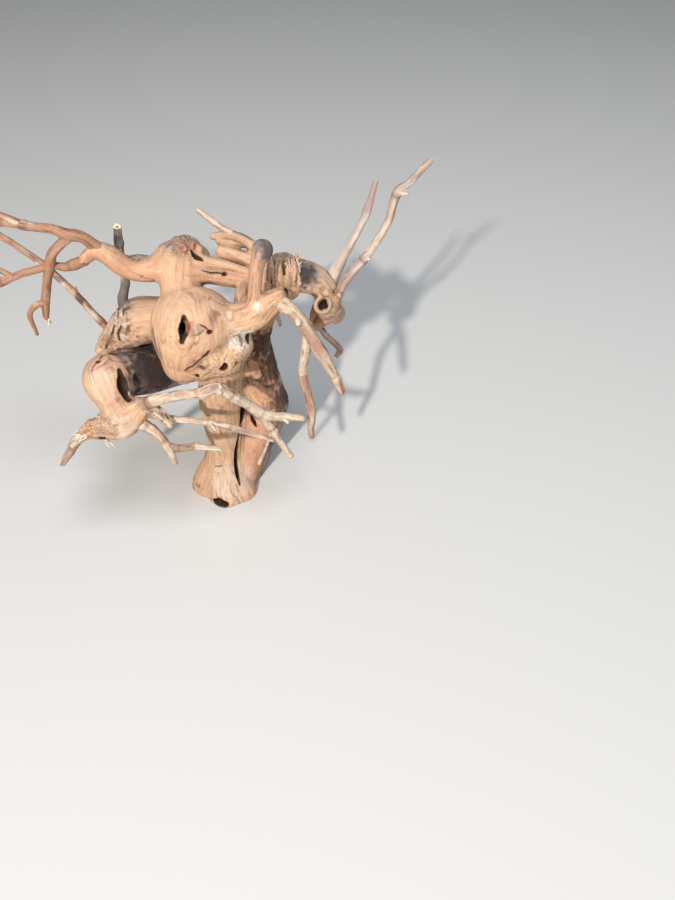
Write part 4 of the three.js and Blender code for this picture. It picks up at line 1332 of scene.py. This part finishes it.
def cut_end(path, rings, places, marks):
    """A slanting cut across the last ring, with the soft pith sunk in its middle."""
    heading = unit(path[-1, :3] - path[-3, :3])
    end = rings[-1]
    middle = end.mean(0)
    slant = (end - middle) @ unit(np.cross(heading, [0.3, 0.2, 1.0]))
    end = end + 0.5 * slant[:, None] * heading
    rim = mix(end, middle, 0.10) + 0.0003 * heading
    inner = mix(end, middle, 0.72) + 0.0002 * heading
    pith = mix(end, middle, 0.80) - 0.0012 * heading
    rings = np.concatenate([rings[:-1], [end, rim, inner, pith]])
    last, core = places[-1:], places[-1:].mean(1)[:, None]
    shape = places.shape[:2]
    places = np.concatenate([places, last, mix(last, core, 0.7), mix(last, core, 0.8)])
    marks = {name: np.vstack([np.broadcast_to(values, shape),
                              *[np.full((1, shape[1]), value) for value in CUT_MARKS[name]]])
             for name, values in marks.items()}
    return rings, places, marks


def plain_tube(tubes, bends, grey, pale):
    """A short twig: a little tube that tapers to a blunt broken tip."""
    path = smooth_path(np.array(bends), TWIG_STEP, 3)
    swell = np.ones((len(path), TWIG_SIDES))
    rings, places = tube_rings(path, swell, TWIG_SIDES)
    dents = noise_on(rings, TWIG_DENT_WIDTH, 3)
    rings, places = tube_rings(path, swell * (1 + 0.14 * dents), TWIG_SIDES)
    tubes.add(rings, places, {"dark": 0.25 * smooth_step(dents, 0.2, 0.8), "pale": pale, "grey": grey,
                              "tone": 0.45})


def splinters(tubes, where, heading, spread, count, length, thick, seed):
    """Torn fibres that stand out of the wood, thin, bent and of uneven length."""
    draws = seeded_draws(seed)

    def scattered():
        return np.array([2 * next(draws) - 1 for _ in range(3)])

    for _ in range(count):
        start = np.array(where) + 0.006 * scattered()
        aim = unit(np.array(heading) + spread * scattered())
        reach = length * (0.5 + 0.5 * next(draws))
        middle = start + 0.5 * reach * aim + 0.12 * reach * scattered()
        tip = start + reach * aim
        width = thick * (0.5 + 0.7 * next(draws))
        plain_tube(tubes, [(*start, width), (*middle, width * 0.8), (*tip, width * 0.25)], 0.0, 0.9)


def side_twigs(tubes, bends, seed, grey):
    """The twigs at alternate buds that the solids have, each with a finer twig of its own."""
    draws = seeded_draws(seed)
    path = smooth_path(np.array(bends), CANE_STEP, 2)
    headings, _ = frames_along(path)
    rows = bud_rows(bends)
    for i in range(1, len(rows) - 1):
        turn = (1 if i % 2 else -1) * (0.7 + 0.5 * next(draws))
        length = 0.010 + 0.014 * next(draws)
        grows = next(draws) < TWIG_CHANCE
        along = headings[np.argmin(np.linalg.norm(path[:, :3] - rows[i, :3], axis=1))]
        side = unit(np.array([-along[1], along[0], 0.6 * (next(draws) - 0.3)]))
        heading = unit(0.6 * along + turn * side)
        centre, radius = rows[i, :3], rows[i, 3]
        if grows:
            tip = centre + heading * length
            bend = mix(centre, tip, 0.55) + 0.0012 * np.cross(heading, along)
            twig = [(*centre, radius * 0.72), (*bend, radius * 0.5), (*tip, radius * 0.34)]
            plain_tube(tubes, twig, grey, 0.5)
            fine = unit(heading - 0.8 * side * turn + 0.5 * along)
            end = bend + fine * length * 0.45
            plain_tube(tubes, [(*bend, radius * 0.34), (*end, radius * 0.16)], grey, 0.4)


def cane_pieces(material):
    for node, (names, seed, grey, tone) in CANE_MASSES.items():
        tubes = Tubes()
        for k, name in enumerate(names):
            rib = SPLIT_RIB if name == "split" else CANE_RIB
            cane_tube(tubes, CANE_RUNS[name], seed * 17 + k, grey, tone, rib)
        side_twigs(tubes, CANE_RUNS[names[0]], seed, grey)
        add_splinters(tubes, node)
        piece = tubes.piece(node + "_wood", material)
        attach(piece, "root")
        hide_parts(node)


def burl_strands(tubes):
    """Upright strands round the decayed burl, left standing where the wood between has gone."""
    draws = seeded_draws(77)
    for k in range(BURL_STRANDS):
        turn = math.radians(-110 + 220 * (k + 0.8 * next(draws)) / BURL_STRANDS)
        reach = 0.0240 + 0.005 * next(draws)
        x, y = BURL_X + reach * math.sin(turn), STRANDS_Y - reach * math.cos(turn)
        low = 0.500 + 0.020 * next(draws)
        high = 0.575 - 0.45 * max(x - BURL_CREST, 0) - 0.024 * next(draws)
        sway = [0.0028 * (2 * next(draws) - 1) for _ in range(6)]
        width = 0.0018 + 0.0034 * next(draws)
        if min(abs(x - gap) for gap in BURL_GAPS) < BURL_GAP_HALF:
            continue
        heights = [mix(low, high, part) for part in (0, 0.35, 0.7, 1)]
        pull = [0.85, 1.0, 1.0, 0.96]
        widths = [width * part for part in (1.0, 0.95, 0.8, 0.3)]
        bends = [(mix(BURL_X, x, pull[i]) + sway[i], mix(STRANDS_Y, y, pull[i]) + 0.4 * sway[i + 2],
                  heights[i], widths[i]) for i in range(4)]
        plain_tube(tubes, bends, 0.4 * next(draws), 0.4 * next(draws))


def burl_fibres(material):
    tubes = Tubes()
    burl_strands(tubes)
    add_splinters(tubes, "decayed_burl")
    piece = tubes.piece("burl_fibres", material)
    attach(piece, "root")
    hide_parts("decayed_burl")


def stick_piece(material):
    tubes = Tubes()
    cane_tube(tubes, CANE_RUNS["stick"], 71, 0.9, 0.5)
    add_splinters(tubes, "back_stick")
    piece = tubes.piece("back_stick_wood", material)
    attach(piece, "root")
    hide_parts("back_stick")


def add_splinters(tubes, node):
    for k, (where, heading, spread, count, length, thick) in enumerate(SPLINTERS.get(node, [])):
        splinters(tubes, where, heading, spread, count, length, thick, 31 + k)


# Nodes of the finishes
def shade(red, green, blue):
    """A display colour, 0 to 255, as the linear one that a shader takes."""
    return tuple(((value / 255 + 0.055) / 1.055) ** 2.4 for value in (red, green, blue)) + (1.0,)


def put(tree, socket, value):
    """A constant set on a socket, or another node's output linked to it."""
    if isinstance(value, bpy.types.NodeSocket):
        tree.links.new(value, socket)
    else:
        socket.default_value = value


def calculated(tree, operation, a, b=0.0):
    node = tree.nodes.new("ShaderNodeMath")
    node.operation = operation
    put(tree, node.inputs[0], a)
    put(tree, node.inputs[1], b)
    return node.outputs[0]


def times(tree, a, b):
    return calculated(tree, "MULTIPLY", a, b)


def ranged(tree, value, low, high, to_low=0.0, to_high=1.0):
    """The value eased from one range to another, 0 to 1 unless told."""
    node = tree.nodes.new("ShaderNodeMapRange")
    node.interpolation_type = "SMOOTHSTEP"
    put(tree, node.inputs["Value"], value)
    put(tree, node.inputs["From Min"], low)
    put(tree, node.inputs["From Max"], high)
    put(tree, node.inputs["To Min"], to_low)
    put(tree, node.inputs["To Max"], to_high)
    return node.outputs["Result"]


def blended(tree, factor, a, b, how="MIX"):
    node = tree.nodes.new("ShaderNodeMix")
    node.data_type = "RGBA"
    node.blend_type = how
    put(tree, node.inputs[0], factor)
    put(tree, node.inputs[6], a)
    put(tree, node.inputs[7], b)
    return node.outputs[2]


def noisy(tree, vector, scale, detail, roughness, distortion=0.0):
    node = tree.nodes.new("ShaderNodeTexNoise")
    put(tree, node.inputs["Vector"], vector)
    put(tree, node.inputs["Scale"], scale)
    put(tree, node.inputs["Detail"], detail)
    put(tree, node.inputs["Roughness"], roughness)
    put(tree, node.inputs["Distortion"], distortion)
    return node.outputs["Fac"]


def read_mark(tree, name):
    node = tree.nodes.new("ShaderNodeAttribute")
    node.attribute_name = name
    return node.outputs["Vector"] if name == "grain_place" else node.outputs["Fac"]


def new_group(name, inputs, outputs):
    group = bpy.data.node_groups.new(name, "ShaderNodeTree")
    for label, kind in inputs:
        group.interface.new_socket(label, in_out="INPUT", socket_type="NodeSocket" + kind)
    for label, kind in outputs:
        group.interface.new_socket(label, in_out="OUTPUT", socket_type="NodeSocket" + kind)
    return group, group.nodes.new("NodeGroupInput").outputs, group.nodes.new("NodeGroupOutput").inputs


def place_group(tree, group, **values):
    node = tree.nodes.new("ShaderNodeGroup")
    node.node_tree = group
    for name, value in values.items():
        put(tree, node.inputs[name.replace("_", " ")], value)
    return node.outputs


def grain_group():
    """Fibres, streaks and hairline checks along the grain place."""
    group, given, made = new_group(
        "grain", [("Place", "Vector"), ("Streak Scale", "Float"), ("Fibre Scale", "Float")],
        [("Streak", "Float"), ("Fibre", "Float"), ("Hairline", "Float"), ("Height", "Float")])
    streak = noisy(group, given["Place"], given["Streak Scale"], 3, 0.55)
    fibre = noisy(group, given["Place"], given["Fibre Scale"], 4, 0.65)
    check = noisy(group, given["Place"], times(group, given["Streak Scale"], 1.7), 2, 0.5, 0.3)
    off = calculated(group, "ABSOLUTE", calculated(group, "SUBTRACT", check, 0.5))
    gate = ranged(group, streak, 0.50, 0.62)
    hairline = times(group, ranged(group, off, 0.0, 0.022, 1.0, 0.0), gate)
    put(group, made["Streak"], streak)
    put(group, made["Fibre"], fibre)
    put(group, made["Hairline"], hairline)
    height = calculated(group, "ADD", times(group, streak, 0.7), fibre)
    put(group, made["Height"], calculated(group, "SUBTRACT", height, hairline))
    return group


def weather_group():
    """Sun, rain and dirt over a base colour: greyed, bleached, and made darker in hollows and cracks by dirt
    and painted shade.
    """
    colours = ("Colour", "Grey Colour", "Pale Colour", "Rusty Colour", "Dark Colour")
    masks = ("Grey", "Pale", "Rusty", "Cavity", "Dark", "Blotch")
    group, given, made = new_group(
        "weather", [(name, "Color") for name in colours] + [(name, "Float") for name in masks],
        [("Colour", "Color"), ("Roughness", "Float")])
    colour = given["Colour"]
    for name, low, high, least in (("Grey", 0.30, 0.60, 0.6), ("Pale", 0.36, 0.58, 0.3),
                                   ("Rusty", 0.34, 0.56, 0.35)):
        broken = ranged(group, given["Blotch"], low, high, least, 1.0)
        colour = blended(group, times(group, given[name], broken), colour, given[name + " Colour"])
    # The dark tint that dirt, stains and painted shade lay over the colour, in hollows and on the dark marks
    shaded = blended(group, 1.0, colour, given["Dark Colour"], "MULTIPLY")
    for name, share in (("Cavity", 0.6), ("Dark", 0.97)):
        colour = blended(group, times(group, given[name], share), colour, shaded)
    put(group, made["Colour"], colour)
    put(group, made["Roughness"], ranged(group, given["Blotch"], 0.3, 0.7, 0.72, 0.92))
    return group


def wood_material(name, groups, colours, scales, bump):
    """Wood finished by the shared grain and weather groups and the marks of its mesh."""
    paint = bpy.data.materials.new(name)
    paint.use_nodes = True
    tree = paint.node_tree
    shader = tree.nodes["Principled BSDF"]
    grain = place_group(tree, groups["grain"], Place=read_mark(tree, "grain_place"),
                        Streak_Scale=scales[0], Fibre_Scale=scales[1])
    spot = tree.nodes.new("ShaderNodeTexCoord").outputs["Object"]
    blotch = noisy(tree, spot, BLOTCH_SCALE, 4, 0.6)
    speck = noisy(tree, spot, SPECK_SCALE, 2, 0.6)
    mottle = noisy(tree, spot, MOTTLE_SCALE, 3, 0.6)
    tone = calculated(tree, "ADD", read_mark(tree, "tone"), calculated(tree, "SUBTRACT", blotch, 0.5))
    colour = blended(tree, ranged(tree, tone, 0.2, 0.9), colours["straw"], colours["rust"])
    for noise, low, high, share, kind in ((grain["Streak"], 0.36, 0.66, 0.36, "brown"),
                                          (grain["Fibre"], 0.35, 0.68, 0.32, "brown"),
                                          (mottle, 0.50, 0.66, 0.35, "rust"),
                                          (speck, 0.60, 0.70, 0.35, "brown")):
        layer = times(tree, ranged(tree, noise, low, high), share)
        colour = blended(tree, layer, colour, colours[kind])
    dark = calculated(tree, "MAXIMUM", read_mark(tree, "dark"), times(tree, grain["Hairline"], 0.45))
    weathered = place_group(tree, groups["weather"], Colour=colour, Grey_Colour=colours["grey"],
                            Pale_Colour=colours["pale"], Dark_Colour=colours["dark"],
                            Rusty_Colour=colours["rusty"], Rusty=read_mark(tree, "rusty"),
                            Grey=read_mark(tree, "grey"), Pale=read_mark(tree, "pale"),
                            Cavity=read_mark(tree, "hollow_shade_and_dirt"), Dark=dark, Blotch=blotch)
    put(tree, shader.inputs["Base Color"], weathered["Colour"])
    put(tree, shader.inputs["Roughness"], weathered["Roughness"])
    shader.inputs["Specular IOR Level"].default_value = WOOD_SHEEN
    relief = tree.nodes.new("ShaderNodeBump")
    relief.inputs["Strength"].default_value = bump
    relief.inputs["Distance"].default_value = BUMP_DEPTH
    height = calculated(tree, "ADD", grain["Height"], times(tree, speck, 0.5))
    put(tree, relief.inputs["Height"], height)
    put(tree, shader.inputs["Normal"], relief.outputs["Normal"])
    return paint


# Colours of the finishes
WOOD_COLOURS = {
    "straw": shade(214, 182, 146), "rust": shade(206, 154, 124), "brown": shade(160, 116, 92),
    "grey": shade(118, 108, 106), "pale": shade(226, 216, 202), "dark": shade(60, 38, 30),
    "rusty": shade(150, 84, 48),
}
CANE_COLOURS = {
    "straw": shade(222, 203, 178), "rust": shade(170, 126, 100), "brown": shade(140, 106, 86),
    "grey": shade(172, 164, 160), "pale": shade(224, 210, 192), "dark": shade(88, 62, 50),
    "rusty": shade(140, 90, 60),
}
STICK_COLOURS = {
    "straw": shade(126, 106, 92), "rust": shade(110, 84, 70), "brown": shade(84, 66, 56),
    "grey": shade(112, 104, 98), "pale": shade(240, 220, 192), "dark": shade(70, 52, 44),
    "rusty": shade(110, 76, 58),
}


camera_and_lights()
floor()
shared = {"grain": grain_group(), "weather": weather_group()}
weathered_wood = wood_material("weathered_wood", shared, WOOD_COLOURS, (230.0, 900.0), 0.55)
wood_pieces(weathered_wood)
burl_fibres(weathered_wood)
cane_pieces(wood_material("dry_cane", shared, CANE_COLOURS, (620.0, 1500.0), 0.45))
stick_piece(wood_material("grey_stick", shared, STICK_COLOURS, (500.0, 1300.0), 0.6))
